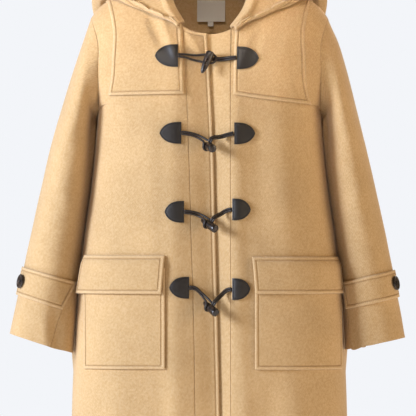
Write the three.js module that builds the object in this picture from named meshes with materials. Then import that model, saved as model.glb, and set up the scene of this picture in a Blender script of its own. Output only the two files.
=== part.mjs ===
// A hooded toggle coat in heavy melton wool, empty but filled out as if worn, with its hood down.
// Millimetres. +Z is up, the front faces -Y and +X is the wearer's left. The origin is the middle of
// the neck, level with the top of the shoulder seams. The wearer's right front laps over the left.
import * as THREE from "three";

// Driving dimensions
const clothThick = 3;        // one thickness of melton
const seamGap = 0.4;         // between two pieces at a seam
const layerGap = 1;          // between a panel and a piece sewn on it
const hemZ = -880;
const FRONT = -1;            // which side of the shoulder line a point is on
const BACK = 1;
const RIGHT = -1;            // which of the wearer's hands
const LEFT = 1;
const quarter = Math.PI / 2;
const degree = Math.PI / 180;

// The coat's outer form, ring by ring: half its width, its depth before and behind the shoulder
// line, and how square the ring is (2 is an ellipse).
const formRings = [
  { z: 16, half: 30, front: 15, back: 22, square: 2 },
  { z: 8, half: 80, front: 28, back: 40, square: 2 },
  { z: -2, half: 130, front: 40, back: 55, square: 2.1 },
  { z: -10, half: 157, front: 46, back: 64, square: 2.15 },
  { z: -20, half: 186, front: 54, back: 71, square: 2.2 },
  { z: -36, half: 206, front: 65, back: 81, square: 2.3 },
  { z: -49, half: 214, front: 73, back: 88, square: 2.4 },
  { z: -80, half: 221, front: 88, back: 102, square: 2.5 },
  { z: -130, half: 222, front: 108, back: 117, square: 2.6 },
  { z: -180, half: 213, front: 118, back: 125, square: 2.65 },
  { z: -216, half: 201, front: 123, back: 128, square: 2.7 },
  { z: -252, half: 202, front: 126, back: 129, square: 2.7 },
  { z: -315, half: 210, front: 129, back: 130, square: 2.7 },
  { z: -378, half: 217, front: 131, back: 132, square: 2.7 },
  { z: -468, half: 230, front: 135, back: 136, square: 2.7 },
  { z: -558, half: 238.5, front: 139, back: 141, square: 2.7 },
  { z: -648, half: 244.5, front: 143, back: 146, square: 2.7 },
  { z: -767, half: 249, front: 147, back: 151, square: 2.65 },
  { z: hemZ, half: 251, front: 150, back: 155, square: 2.6 },
];

// Neck edge: its height at each distance from the middle, in front and behind.
const neckFront = [
  { x: 0, z: -79 },
  { x: 22, z: -76.5 },
  { x: 40, z: -70 },
  { x: 48, z: -63.5 },
  { x: 55, z: -52 },
  { x: 66, z: -34 },
  { x: 72, z: -18 },
  { x: 77, z: -3 },
  { x: 80, z: 8 },
];
const neckBack = [
  { x: 0, z: -10 },
  { x: 25, z: -9.5 },
  { x: 50, z: -6 },
  { x: 68, z: 0 },
  { x: 80, z: 8 },
];
const shoulderPoint = { x: 214, z: -49 };
const neckPointZ = 8;

// Armhole: an egg on the form, from the shoulder point down to the underarm.
const armhole = { top: -49, bottom: -222, front: 62, back: 66, egg: 0.12 };

// Front edges: where the seams of the front bands and the lapping edge run.
const frontLines = [
  { z: -60, rightSeam: -48.4, lap: -6, leftSeam: 40 },
  { z: -154, rightSeam: -43, lap: 1, leftSeam: 38 },
  { z: -306, rightSeam: -37, lap: 8, leftSeam: 37.5 },
  { z: -452, rightSeam: -33, lap: 11.5, leftSeam: 38 },
  { z: -580, rightSeam: -29, lap: 15, leftSeam: 38 },
  { z: -767, rightSeam: -26, lap: 19, leftSeam: 38.5 },
  { z: hemZ, rightSeam: -24, lap: 20, leftSeam: 39 },
];
const underlap = 32;         // how far the left front runs on under the right one

// Sleeve rings after the armhole: the outermost and innermost point, half the depth from front to
// back, how far the ring sits forward, and the angles of the two seams round it from the outermost
// point, the front one forward and the back one backward.
const sleeveRings = {
  [RIGHT]: [
    { outX: -233, outZ: -105, inX: -210, inZ: -226, depth: 69, forward: 0, front: 158, back: 136 },
    { outX: -248, outZ: -150, inX: -212.5, inZ: -233, depth: 74, forward: 1, front: 160, back: 134 },
    { outX: -262, outZ: -195, inX: -213, inZ: -241, depth: 78, forward: 2, front: 162, back: 132 },
    { outX: -276, outZ: -241, inX: -213.5, inZ: -252, depth: 79, forward: 3, front: 163, back: 130 },
    { outX: -292.5, outZ: -304, inX: -216.5, inZ: -318, depth: 77, forward: 5, front: 165, back: 128 },
    { outX: -309, outZ: -378, inX: -223.5, inZ: -396, depth: 74, forward: 8, front: 167, back: 125 },
    { outX: -329, outZ: -468, inX: -237, inZ: -492, depth: 66, forward: 13, front: 166, back: 120 },
    { outX: -345, outZ: -545, inX: -246, inZ: -577, depth: 57, forward: 18, front: 130, back: 116 },
    { outX: -361, outZ: -619, inX: -253, inZ: -654, depth: 50, forward: 22, front: 112, back: 112 },
  ],
  [LEFT]: [
    { outX: 237, outZ: -105, inX: 210, inZ: -227, depth: 69, forward: 0, front: 158, back: 136 },
    { outX: 250, outZ: -150, inX: 212, inZ: -235, depth: 74, forward: 1, front: 160, back: 134 },
    { outX: 262, outZ: -197, inX: 212.5, inZ: -243, depth: 78, forward: 2, front: 162, back: 132 },
    { outX: 273, outZ: -241, inX: 213, inZ: -254, depth: 79, forward: 3, front: 163, back: 130 },
    { outX: 288, outZ: -304, inX: 215.5, inZ: -316, depth: 77, forward: 5, front: 165, back: 128 },
    { outX: 305, outZ: -378, inX: 222.5, inZ: -393, depth: 74, forward: 8, front: 167, back: 125 },
    { outX: 324, outZ: -468, inX: 236, inZ: -488, depth: 66, forward: 13, front: 164, back: 120 },
    { outX: 338, outZ: -540, inX: 245.5, inZ: -562, depth: 57, forward: 18, front: 154, back: 116 },
    { outX: 353.5, outZ: -626, inX: 252, inZ: -648, depth: 50, forward: 22, front: 146, back: 112 },
  ],
};

// The hood lies folded back. At each angle round the neck from the front: the height it stands up
// from the neck seam, how far it reaches out over the coat to its fold, how thick it is between its
// two layers, and how far the top layer comes back from the fold to the rim.
const hoodStations = [
  { angle: 24, stand: 5, reach: 9, loft: 7.5, comeBack: 3 },
  { angle: 36, stand: 7, reach: 15, loft: 7.5, comeBack: 3 },
  { angle: 45, stand: 9, reach: 27, loft: 8, comeBack: 3 },
  { angle: 55, stand: 11, reach: 45, loft: 8.5, comeBack: 4 },
  { angle: 64, stand: 13, reach: 62, loft: 10, comeBack: 5 },
  { angle: 73, stand: 15, reach: 82, loft: 16, comeBack: 14 },
  { angle: 90, stand: 18, reach: 110, loft: 26, comeBack: 42 },
  { angle: 120, stand: 21, reach: 152, loft: 36, comeBack: 88 },
  { angle: 150, stand: 23, reach: 192, loft: 44, comeBack: 138 },
  { angle: 180, stand: 24, reach: 214, loft: 48, comeBack: 165 },
];
const hoodClear = 8;         // from the form to the side of the hood that lies on it

// The yoke's sides, in columns of the front that it lies on, and the heights of its lower corners.
const yoke = { innerTop: 0.45, innerBottom: 0.3, outerTop: 8.93 };
const yokeCorners = {
  [RIGHT]: { inner: -188, outer: -190, outerColumn: 7.6 },
  [LEFT]: { inner: -188, outer: -206, outerColumn: 7.3 },
};

// Patch pieces on the fronts, by their corners.
const pockets = {
  [RIGHT]: { inner: 79, outer: 224, top: -500, bottom: -682 },
  [LEFT]: { inner: 81, outer: 236, top: -500, bottom: -683 },
};
const flaps = {
  [RIGHT]: { innerTop: 79, innerBottom: 85, outerTop: 223, outerBottom: 232, top: -477, bottom: -547 },
  [LEFT]: { innerTop: 76, innerBottom: 81, outerTop: 228, outerBottom: 233, top: -480, bottom: -547 },
};
const flapRows = [
  { down: 0, lift: 1.3 },
  { down: 0.12, lift: 3.2 },
  { down: 0.28, lift: 5.8 },
  { down: 0.62, lift: 6.4 },
  { down: 1, lift: 7.5 },
];
const straps = {
  [RIGHT]: { upper: 7.38, lower: 8.06, from: 5, button: 27 },
  [LEFT]: { upper: 7.5, lower: 8.17, from: 5, button: 27 },
};
const button = { radius: 13, thick: 4.2, rim: 2.4, well: 1.2 };
const label = { left: -22.5, right: 28.5, top: -12.5, bottom: -51, thick: 1, clear: 4.8 };
const sizeTab = { left: -3, right: 7, top: -51.6, bottom: -59.5 };

// Toggle rows. A tab is given by its straight edge and its height there; the horn toggle by its tip
// and its flat end, each at x, z and a lift off the form.
const tab = { long: 38, tall: 39, thick: 2, tipHalf: 1.5 };
const cord = { radius: 1.8, apart: 1.95 };
const toggle = { length: 43, radius: 7.2 };
const toggleRows = [
  {
    name: "1",
    lift: 5,
    right: { x: -56, z: -120.2, long: 41 },
    left: { x: 49, z: -124.2, long: 38.5 },
    tip: { x: -14, z: -154.3, lift: 20 },
    end: { x: 4.2, z: -114, lift: 20 },
  },
  {
    name: "2",
    lift: 1,
    right: { x: -50.4, z: -257.6, long: 38 },
    left: { x: 44, z: -258.6, long: 37.5 },
    tip: { x: -11.5, z: -277.5, lift: 9 },
    end: { x: 5.4, z: -288, lift: 45 },
  },
  {
    name: "3",
    lift: 1,
    right: { x: -45.5, z: -399.3, long: 34 },
    left: { x: 40.5, z: -395, long: 33 },
    tip: { x: -14.5, z: -413.5, lift: 9 },
    end: { x: 11, z: -432.5, lift: 38 },
  },
  {
    name: "4",
    lift: 1,
    right: { x: -36.5, z: -535.4, long: 34.5 },
    left: { x: 40.5, z: -538, long: 32 },
    tip: { x: -10.5, z: -561.5, lift: 9 },
    end: { x: 12, z: -583, lift: 39 },
  },
];

const materials = {
  wool: { color: 0xcda36b, roughness: 0.95, metalness: 0 },
  leather: { color: 0x23201f, roughness: 0.5, metalness: 0 },
  horn: { color: 0x231c19, roughness: 0.25, metalness: 0 },
  cord: { color: 0x1d1817, roughness: 0.6, metalness: 0 },
  button: { color: 0x2a211d, roughness: 0.35, metalness: 0 },
  label: { color: 0xe4e4e0, roughness: 0.8, metalness: 0 },
};

const coat = new THREE.Group();

// --- tables and the form ---

const mix = THREE.MathUtils.lerp;

// A smooth curve through one column of a table, read by its key column, that never overshoots.
function readColumn(table, key, name) {
  const rows = [...table].sort((a, b) => a[key] - b[key]);
  return smoothThrough(rows.map((row) => row[key]), rows.map((row) => row[name]));
}

function smoothThrough(xs, ys) {
  const last = xs.length - 1;
  const slopes = xs.slice(1).map((x, i) => (ys[i + 1] - ys[i]) / (x - xs[i]));
  const tangents = xs.map((x, i) => {
    if (i === 0) return slopes[0];
    if (i === last) return slopes[last - 1];
    const before = slopes[i - 1];
    const after = slopes[i];
    return before * after <= 0 ? 0 : (2 * before * after) / (before + after);
  });
  return (x) => {
    const at = THREE.MathUtils.clamp(x, xs[0], xs[last]);
    let i = 0;
    while (i < last - 1 && at > xs[i + 1]) i += 1;
    const span = xs[i + 1] - xs[i];
    const t = (at - xs[i]) / span;
    const rise = (1 + 2 * t) * (1 - t) ** 2 * ys[i] + t * t * (3 - 2 * t) * ys[i + 1];
    const turn = t * (1 - t) ** 2 * tangents[i] - t * t * (1 - t) * tangents[i + 1];
    return rise + turn * span;
  };
}

const form = {
  half: readColumn(formRings, "z", "half"),
  front: readColumn(formRings, "z", "front"),
  back: readColumn(formRings, "z", "back"),
  square: readColumn(formRings, "z", "square"),
};
const neckZ = {
  [FRONT]: readColumn(neckFront, "x", "z"),
  [BACK]: readColumn(neckBack, "x", "z"),
};
const rightSeamX = readColumn(frontLines, "z", "rightSeam");
const lapX = readColumn(frontLines, "z", "lap");
const leftSeamX = readColumn(frontLines, "z", "leftSeam");

const depthAt = (side, z) => (side === FRONT ? form.front(z) : form.back(z));

// A point of the form: the side, the angle from that side's middle towards the wearer's left, and z.
function formPoint(side, angle, z) {
  const n = form.square(z);
  const across = Math.abs(Math.sin(angle)) / form.half(z);
  const deep = Math.abs(Math.cos(angle)) / depthAt(side, z);
  const radius = (across ** n + deep ** n) ** (-1 / n);
  return new THREE.Vector3(radius * Math.sin(angle), side * radius * Math.cos(angle), z);
}

// How full the form is at a point: 1 on its surface, less inside it.
function fullness(point) {
  const n = form.square(point.z);
  const deep = depthAt(point.y < 0 ? FRONT : BACK, point.z);
  return (Math.abs(point.x) / form.half(point.z)) ** n + (Math.abs(point.y) / deep) ** n;
}

function formNormal(point) {
  const step = 0.4;
  const slope = (axis) => {
    const more = point.clone();
    const less = point.clone();
    more[axis] += step;
    less[axis] -= step;
    return fullness(more) - fullness(less);
  };
  return new THREE.Vector3(slope("x"), slope("y"), slope("z")).normalize();
}

// The point of the form that a ray meets on its way out from the axis through a given point.
function ontoForm(point) {
  const centre = new THREE.Vector3(0, 0, Math.min(point.z, -120));
  let inside = 0.2;
  let outside = 3;
  for (let k = 0; k < 40; k += 1) {
    const middle = (inside + outside) / 2;
    if (fullness(centre.clone().lerp(point, middle)) < 1) inside = middle;
    else outside = middle;
  }
  return centre.lerp(point, inside);
}

// How deep the form is at x and z, and the form's point there.
function depthOf(side, x, z) {
  const n = form.square(z);
  const share = Math.min(Math.abs(x) / form.half(z), 1);
  return depthAt(side, z) * (1 - share ** n) ** (1 / n);
}

const spotAt = (side, x, z) => new THREE.Vector3(x, side * depthOf(side, x, z), z);
const ridgeSpot = (hand, z) => new THREE.Vector3(hand * form.half(z), 0, z);
const angleOf = (side, point) => Math.atan2(point.x, side * point.y);

// A point over the front at x and z, lifted off it.
function overFront(x, z, lift) {
  const point = spotAt(FRONT, x, z);
  return point.addScaledVector(formNormal(point), lift);
}

// --- cloth walls ---

// A closed wall from a grid of outer points and a grid of inner ones.
function wallGeometry(outer, inner) {
  const rows = outer.length;
  const columns = outer[0].length;
  const positions = [];
  for (const grid of [outer, inner]) {
    for (const row of grid) for (const point of row) positions.push(point.x, point.y, point.z);
  }
  const at = (layer, i, j) => layer * rows * columns + i * columns + j;
  const index = [];
  const quad = (a, b, c, d) => index.push(a, b, c, a, c, d);
  for (let i = 0; i < rows - 1; i += 1) {
    for (let j = 0; j < columns - 1; j += 1) {
      quad(at(0, i, j), at(0, i + 1, j), at(0, i + 1, j + 1), at(0, i, j + 1));
      quad(at(1, i, j), at(1, i, j + 1), at(1, i + 1, j + 1), at(1, i + 1, j));
    }
  }
  for (let j = 0; j < columns - 1; j += 1) {
    quad(at(0, 0, j), at(0, 0, j + 1), at(1, 0, j + 1), at(1, 0, j));
    quad(at(0, rows - 1, j), at(1, rows - 1, j), at(1, rows - 1, j + 1), at(0, rows - 1, j + 1));
  }
  for (let i = 0; i < rows - 1; i += 1) {
    quad(at(0, i, 0), at(1, i, 0), at(1, i + 1, 0), at(0, i + 1, 0));
    const end = columns - 1;
    quad(at(0, i, end), at(0, i + 1, end), at(1, i + 1, end), at(1, i, end));
  }
  const geometry = new THREE.BufferGeometry();
  geometry.setAttribute("position", new THREE.Float32BufferAttribute(positions, 3));
  geometry.setIndex(volumeOf(positions, index) < 0 ? turned(index) : index);
  geometry.computeVertexNormals();
  return geometry;
}

function volumeOf(positions, index) {
  const corner = (i) => new THREE.Vector3().fromArray(positions, 3 * index[i]);
  let volume = 0;
  for (let i = 0; i < index.length; i += 3) {
    volume += corner(i).dot(corner(i + 1).cross(corner(i + 2))) / 6;
  }
  return volume;
}

function turned(index) {
  const flipped = [];
  for (let i = 0; i < index.length; i += 3) flipped.push(index[i], index[i + 2], index[i + 1]);
  return flipped;
}

// Draws a border in from its seam by half the gap. A border is a list of [row, column].
function drawIn(points, normals, border, inside, gap) {
  const moves = border.map(([i, j], k) => {
    const before = border[Math.max(k - 1, 0)];
    const after = border[Math.min(k + 1, border.length - 1)];
    const along = points[after[0]][after[1]].clone().sub(points[before[0]][before[1]]);
    const way = along.cross(normals[i][j]).normalize();
    const inward = points[inside[k][0]][inside[k][1]].clone().sub(points[i][j]);
    return way.multiplyScalar(way.dot(inward) < 0 ? -gap : gap);
  });
  return () => border.forEach(([i, j], k) => points[i][j].add(moves[k]));
}

const count = (from, to) => Array.from({ length: to - from + 1 }, (unused, k) => from + k);

// The four borders of a grid, over all their length or a part of it.
function borderOf(points, name, from = 0, to = Infinity) {
  const lastRow = points.length - 1;
  const lastColumn = points[0].length - 1;
  const down = name === "start" || name === "end";
  const steps = count(from, Math.min(to, down ? lastRow : lastColumn));
  const fixed = { top: 0, bottom: lastRow, start: 0, end: lastColumn }[name];
  const within = fixed === 0 ? 1 : fixed - 1;
  return {
    edge: steps.map((k) => (down ? [k, fixed] : [fixed, k])),
    inside: steps.map((k) => (down ? [k, within] : [within, k])),
  };
}

function drawInBorders(points, normals, borders) {
  const moves = borders.map((border) => {
    const { edge, inside } = borderOf(points, border.name, border.from, border.to);
    return drawIn(points, normals, edge, inside, border.gap ?? seamGap / 2);
  });
  moves.forEach((move) => move());
}

function addMesh(name, geometry, material) {
  const mesh = new THREE.Mesh(geometry, new THREE.MeshStandardMaterial(materials[material]));
  mesh.name = name;
  coat.add(mesh);
  return mesh;
}

// A wall whose inner side lies along each point's own inward way.
function addWall(name, points, inward, thick = clothThick, material = "wool") {
  const inner = points.map((row, i) => row.map((point, j) => (
    point.clone().addScaledVector(inward[i][j], thick)
  )));
  return addMesh(name, wallGeometry(points, inner), material);
}

// A wall on the form: lift is how far its inner side is off the form at a row and column.
function layOnForm(spots, lift, thick) {
  const normals = spots.map((row) => row.map(formNormal));
  const points = spots.map((row, i) => row.map((spot, j) => (
    spot.clone().addScaledVector(normals[i][j], lift(i, j) + thick)
  )));
  const inward = normals.map((row) => row.map((normal) => normal.clone().negate()));
  return { points, normals, inward };
}

// Points of the form between four borders: each is set between the two sides, and the top border's
// shape fades out downwards.
function fillSpots(side, top, start, end, fade) {
  const lastRow = start.length - 1;
  const lastColumn = top.length - 1;
  const between = (i, u) => {
    const angle = mix(angleOf(side, start[i]), angleOf(side, end[i]), u);
    return formPoint(side, angle, mix(start[i].z, end[i].z, u));
  };
  return start.map((first, i) => top.map((spot, j) => {
    const u = j / lastColumn;
    if (i === 0) return spot;
    if (u === 0) return first;
    if (u === 1) return end[i];
    const shift = spot.clone().sub(between(0, u)).multiplyScalar((1 - i / lastRow) ** fade);
    return ontoForm(between(i, u).add(shift));
  }));
}

// --- body ---

const armholeRows = 8;
const sideRows = 9;
const armholeStep = Math.PI / armholeRows;
const underRow = -235;       // height at the front bands of the row that meets the underarm

// A spot on the armhole's edge: the turn runs from the shoulder point over the front to the back.
function armholeSpot(hand, turn) {
  const side = Math.sin(turn) >= 0 ? FRONT : BACK;
  const middle = (armhole.top + armhole.bottom) / 2;
  const z = middle + ((armhole.top - armhole.bottom) / 2) * Math.cos(turn);
  const wide = side === FRONT ? armhole.front : armhole.back;
  const y = wide * Math.abs(Math.sin(turn)) * (1 - armhole.egg * Math.cos(turn));
  const n = form.square(z);
  const x = form.half(z) * (1 - (y / depthAt(side, z)) ** n) ** (1 / n);
  return new THREE.Vector3(hand * x, side * y, z);
}

// The armhole's turn at a row of a body panel.
const turnAt = (side, i) => (side === FRONT ? i * armholeStep : 2 * Math.PI - i * armholeStep);

// A body panel's outer border: down the armhole, then down the side seam.
function sideBorder(hand, side) {
  const down = count(1, sideRows).map((i) => mix(armhole.bottom, hemZ, i / sideRows));
  return [
    ...count(0, armholeRows).map((i) => armholeSpot(hand, turnAt(side, i))),
    ...down.map((z) => ridgeSpot(hand, z)),
  ];
}

// The shoulder seam from the neck point out to the shoulder point.
const shoulderSeamZ = [0, -8, -22, shoulderPoint.z];
const frontNeckX = [55, 63, 69, 73.5, 77];
const backNeckX = [72, 60, 42, 21];
const frontRowZ = (topZ, i) => (
  i <= armholeRows ? mix(topZ, underRow, i / armholeRows) : mix(underRow, hemZ, (i - armholeRows) / sideRows)
);
const neckSpot = (side, x) => spotAt(side, x, neckZ[side](Math.abs(x)));

// Where the front band's seam meets the neck edge.
function seamTop(seamX) {
  let z = neckZ[FRONT](Math.abs(seamX(0)));
  for (let k = 0; k < 8; k += 1) z = neckZ[FRONT](Math.abs(seamX(z)));
  return z;
}

function frontSpots(hand, seamX) {
  const topZ = seamTop(seamX);
  const top = [
    spotAt(FRONT, seamX(topZ), topZ),
    ...frontNeckX.map((x) => neckSpot(FRONT, hand * x)),
    ...[neckPointZ, ...shoulderSeamZ].map((z) => ridgeSpot(hand, z)),
  ];
  const start = count(0, armholeRows + sideRows).map((i) => {
    const z = frontRowZ(topZ, i);
    return spotAt(FRONT, seamX(z), z);
  });
  return fillSpots(FRONT, top, start, sideBorder(hand, FRONT), 3);
}

// The frame of the armhole seam at a turn: its point, the way the cloth's edge runs in, and the way
// across the seam towards the sleeve.
function armholeFrame(hand, turn) {
  const point = armholeSpot(hand, turn);
  const along = armholeSpot(hand, turn + 0.05).sub(armholeSpot(hand, turn - 0.05)).normalize();
  const bodyOut = formNormal(point);
  const next = ringPoint(hand, sleeveRings[hand][0], turn);
  const leaving = next.clone().sub(point);
  leaving.addScaledVector(along, -leaving.dot(along)).normalize();
  const sleeveOut = along.clone().cross(leaving);
  if (sleeveOut.dot(next.sub(ringCentre(sleeveRings[hand][0]))) < 0) sleeveOut.negate();
  const inward = bodyOut.clone().add(sleeveOut).normalize().negate();
  const across = along.clone().cross(inward).normalize();
  if (across.dot(leaving) < 0) across.negate();
  inward.multiplyScalar(Math.min(-1 / inward.dot(bodyOut), 1.2));
  return { point, inward, across };
}

// Puts a body panel's armhole border on the armhole seam. The panel's border column is given.
function setArmhole(panel, hand, side, column) {
  for (const i of count(0, armholeRows)) {
    const frame = armholeFrame(hand, turnAt(side, i));
    panel.points[i][column].addScaledVector(frame.across, -seamGap / 2);
    panel.inward[i][column].copy(frame.inward);
  }
}

const fronts = {};

function makeFront(name, hand, seamX) {
  const panel = layOnForm(frontSpots(hand, seamX), () => -clothThick, clothThick);
  fronts[hand] = { points: panel.points.map((row) => row.map((p) => p.clone())), normals: panel.normals };
  drawInBorders(panel.points, panel.normals, [
    { name: "top", from: frontNeckX.length + 1 },
    { name: "start" },
    { name: "end", from: armholeRows },
  ]);
  setArmhole(panel, hand, FRONT, panel.points[0].length - 1);
  addWall(name, panel.points, panel.inward);
}

function makeBack() {
  const half = (hand) => [
    ...[...shoulderSeamZ].reverse().map((z) => ridgeSpot(hand, z)),
    ridgeSpot(hand, neckPointZ),
    ...backNeckX.map((x) => neckSpot(BACK, hand * x)),
  ];
  const top = [...half(RIGHT), neckSpot(BACK, 0), ...half(LEFT).reverse()];
  const spots = fillSpots(BACK, top, sideBorder(RIGHT, BACK), sideBorder(LEFT, BACK), 3);
  const panel = layOnForm(spots, () => -clothThick, clothThick);
  const lastColumn = top.length - 1;
  const seam = shoulderSeamZ.length;
  drawInBorders(panel.points, panel.normals, [
    { name: "top", from: 0, to: seam },
    { name: "top", from: lastColumn - seam },
    { name: "start", from: armholeRows },
    { name: "end", from: armholeRows },
  ]);
  setArmhole(panel, RIGHT, BACK, 0);
  setArmhole(panel, LEFT, BACK, lastColumn);
  addWall("back", panel.points, panel.inward);
}

// A front band: columns give x at each height and how far the wall's outer side is off the form.
function makeBand(name, seamX, columns) {
  const topZ = seamTop(seamX);
  const spots = count(0, armholeRows + sideRows).map((i) => {
    const level = frontRowZ(topZ, i);
    const fade = Math.max(1 - i / armholeRows, 0) ** 2;
    return columns.map((column) => {
      const z = level + (neckZ[FRONT](Math.abs(column.x(level))) - topZ) * fade;
      return spotAt(FRONT, column.x(z), z);
    });
  });
  const band = layOnForm(spots, (i, j) => columns[j].lift - clothThick, clothThick);
  drawInBorders(band.points, band.normals, [{ name: "start" }]);
  addWall(name, band.points, band.inward);
}

// --- sleeves ---

const ringCentre = (ring) => new THREE.Vector3(
  (ring.outX + ring.inX) / 2,
  -ring.forward,
  (ring.outZ + ring.inZ) / 2,
);

function ringPoint(hand, ring, turn) {
  const across = new THREE.Vector3((ring.outX - ring.inX) / 2, 0, (ring.outZ - ring.inZ) / 2);
  const point = ringCentre(ring).addScaledVector(across, Math.cos(turn));
  point.y -= ring.depth * Math.sin(turn);
  return point;
}

// The armhole seam's frame at any turn, along the straight chords of the body's border.
function armholeChord(hand, turn) {
  const step = Math.floor(turn / armholeStep + 1e-9);
  const share = turn / armholeStep - step;
  const near = armholeFrame(hand, step * armholeStep);
  const far = armholeFrame(hand, (step + 1) * armholeStep);
  return {
    point: near.point.lerp(far.point, share),
    inward: near.inward.lerp(far.inward, share),
    across: near.across.lerp(far.across, share).normalize(),
  };
}

const sleeveLines = new Map();

// A point of the sleeve: the place counts rings from the armhole, 0, to the cuff.
function sleevePoint(hand, place, turn) {
  const key = `${hand} ${turn.toFixed(5)}`;
  if (!sleeveLines.has(key)) {
    const points = [armholeChord(hand, turn).point, ...sleeveRings[hand].map((ring) => ringPoint(hand, ring, turn))];
    const places = points.map((unused, k) => k);
    sleeveLines.set(key, ["x", "y", "z"].map((axis) => smoothThrough(places, points.map((p) => p[axis]))));
  }
  return new THREE.Vector3(...sleeveLines.get(key).map((line) => line(place)));
}

function sleeveNormal(hand, place, turn) {
  const last = sleeveRings[hand].length;
  const up = Math.max(place - 0.05, 0);
  const down = Math.min(place + 0.05, last);
  const along = sleevePoint(hand, down, turn).sub(sleevePoint(hand, up, turn));
  const round = sleevePoint(hand, place, turn + 0.03).sub(sleevePoint(hand, place, turn - 0.03));
  const normal = along.cross(round).normalize();
  const middle = sleevePoint(hand, place, turn).sub(sleevePoint(hand, place, turn + Math.PI));
  return normal.dot(middle) < 0 ? normal.negate() : normal;
}

const sleevePlaces = [0, 0.5, 1, 2, 3, 4, 4.6, 5.2, 5.8, 6.4, 7, 7.4, 7.8, 8.2, 8.6, 9];
const seamTurns = {};
for (const hand of [RIGHT, LEFT]) {
  const rows = [{ place: 0, front: 157.5, back: 135 }];
  sleeveRings[hand].forEach((ring, k) => rows.push({ place: k + 1, front: ring.front, back: ring.back }));
  seamTurns[hand] = {
    front: readColumn(rows, "place", "front"),
    back: readColumn(rows, "place", "back"),
  };
}

function makeSleevePiece(name, hand, from, to, columns) {
  const turns = sleevePlaces.map((place) => (
    count(0, columns).map((j) => mix(from(place), to(place), j / columns) * degree)
  ));
  const points = turns.map((row, i) => row.map((turn) => sleevePoint(hand, sleevePlaces[i], turn)));
  const normals = turns.map((row, i) => row.map((turn) => sleeveNormal(hand, sleevePlaces[i], turn)));
  const inward = normals.map((row) => row.map((normal) => normal.clone().negate()));
  turns[0].forEach((turn, j) => {
    const frame = armholeChord(hand, turn);
    points[0][j].addScaledVector(frame.across, seamGap / 2);
    inward[0][j].copy(frame.inward);
  });
  drawInBorders(points, normals, [{ name: "start", gap: 0.3 }, { name: "end", gap: 0.3 }]);
  addWall(name, points, inward);
}

function makeSleeve(handName, hand) {
  const { front, back } = seamTurns[hand];
  makeSleevePiece(`sleeve_upper_${handName}`, hand, (k) => -back(k), front, 13);
  makeSleevePiece(`sleeve_under_${handName}`, hand, front, (k) => 360 - back(k), 6);
}

function overSleeve(hand, place, turn, lift) {
  return sleevePoint(hand, place, turn).addScaledVector(sleeveNormal(hand, place, turn), lift);
}

function makeStrap(handName, hand) {
  const strap = straps[hand];
  const columns = 9;
  const rows = 2;
  const points = [];
  const inward = [];
  for (const i of count(0, rows)) {
    const place = mix(strap.upper, strap.lower, i / rows);
    const seam = seamTurns[hand].front(place) - 1.5;
    const turns = count(0, columns).map((j) => mix(strap.from, seam, j / columns) * degree);
    points.push(turns.map((turn) => overSleeve(hand, place, turn, layerGap + clothThick)));
    inward.push(turns.map((turn) => sleeveNormal(hand, place, turn).negate()));
  }
  addWall(`sleeve_strap_${handName}`, points, inward);

  // The button: a rim round a sunken well, lathed about the way off the sleeve.
  const place = (strap.upper + strap.lower) / 2;
  const turn = strap.button * degree;
  const profile = [
    [0, 0],
    [button.radius - 1, 0],
    [button.radius, 1],
    [button.radius, button.thick - 1],
    [button.radius - 1, button.thick],
    [button.radius - button.rim, button.thick],
    [button.radius - button.rim - 1, button.thick - button.well],
    [0, button.thick - button.well],
  ].map(([radius, height]) => new THREE.Vector2(radius, height));
  const disc = addMesh(`sleeve_button_${handName}`, new THREE.LatheGeometry(profile, 20), "button");
  disc.position.copy(overSleeve(hand, place, turn, layerGap + clothThick + 0.6));
  const up = new THREE.Vector3(0, 1, 0);
  disc.quaternion.setFromUnitVectors(up, sleeveNormal(hand, place, turn));
}

// --- yokes, pockets and flaps ---

// A point on a panel at a fractional row and column, moved off it by its normal.
function overPanel(panel, row, column, lift) {
  const i = Math.min(Math.floor(row), panel.points.length - 2);
  const j = Math.min(Math.floor(column), panel.points[0].length - 2);
  const blend = (grid) => {
    const upper = grid[i][j].clone().lerp(grid[i][j + 1], column - j);
    const lower = grid[i + 1][j].clone().lerp(grid[i + 1][j + 1], column - j);
    return upper.lerp(lower, row - i);
  };
  const normal = blend(panel.normals).normalize();
  return { point: blend(panel.points).addScaledVector(normal, lift), inward: normal.clone().negate() };
}

// The fractional row of a front at which a column reaches the yoke's lower edge.
function yokeEndRow(panel, corners, column) {
  const edgeZ = mix(corners.inner, corners.outer, column / corners.outerColumn);
  let above = 3;
  let below = armholeRows;
  for (let k = 0; k < 30; k += 1) {
    const middle = (above + below) / 2;
    if (overPanel(panel, middle, column, 0).point.z > edgeZ) above = middle;
    else below = middle;
  }
  return above;
}

function makeYoke(handName, hand) {
  const panel = fronts[hand];
  const spots = [0.06, 1, 2, 3, 4, 5, 6, 7].map((level) => {
    const down = level / 7;
    const outer = mix(yoke.outerTop, yokeCorners[hand].outerColumn, down);
    const columns = [
      mix(yoke.innerTop, yoke.innerBottom, down),
      ...count(1, 6),
      ...count(1, 3).map((k) => mix(6, outer, k / 3)),
    ];
    return columns.map((column) => {
      const end = yokeEndRow(panel, yokeCorners[hand], column);
      const row = level === 7 ? end : Math.min(level, end - 0.3);
      return overPanel(panel, row, column, layerGap * (1 + down) + clothThick);
    });
  });
  const points = spots.map((row) => row.map((spot) => spot.point));
  const inward = spots.map((row) => row.map((spot) => spot.inward));
  addWall(`yoke_${handName}`, points, inward);
}

// A patch with straight sides: rows give z and the lift, x runs between two slanting sides.
function makePatch(name, hand, rows, columns, innerX, outerX) {
  const spots = rows.map((row) => {
    const inner = angleOf(FRONT, spotAt(FRONT, hand * innerX(row.share), row.z));
    const outer = angleOf(FRONT, spotAt(FRONT, hand * outerX(row.share), row.z));
    return count(0, columns).map((j) => formPoint(FRONT, mix(inner, outer, j / columns), row.z));
  });
  const patch = layOnForm(spots, (i) => rows[i].lift, clothThick);
  addWall(name, patch.points, patch.inward);
}

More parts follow.
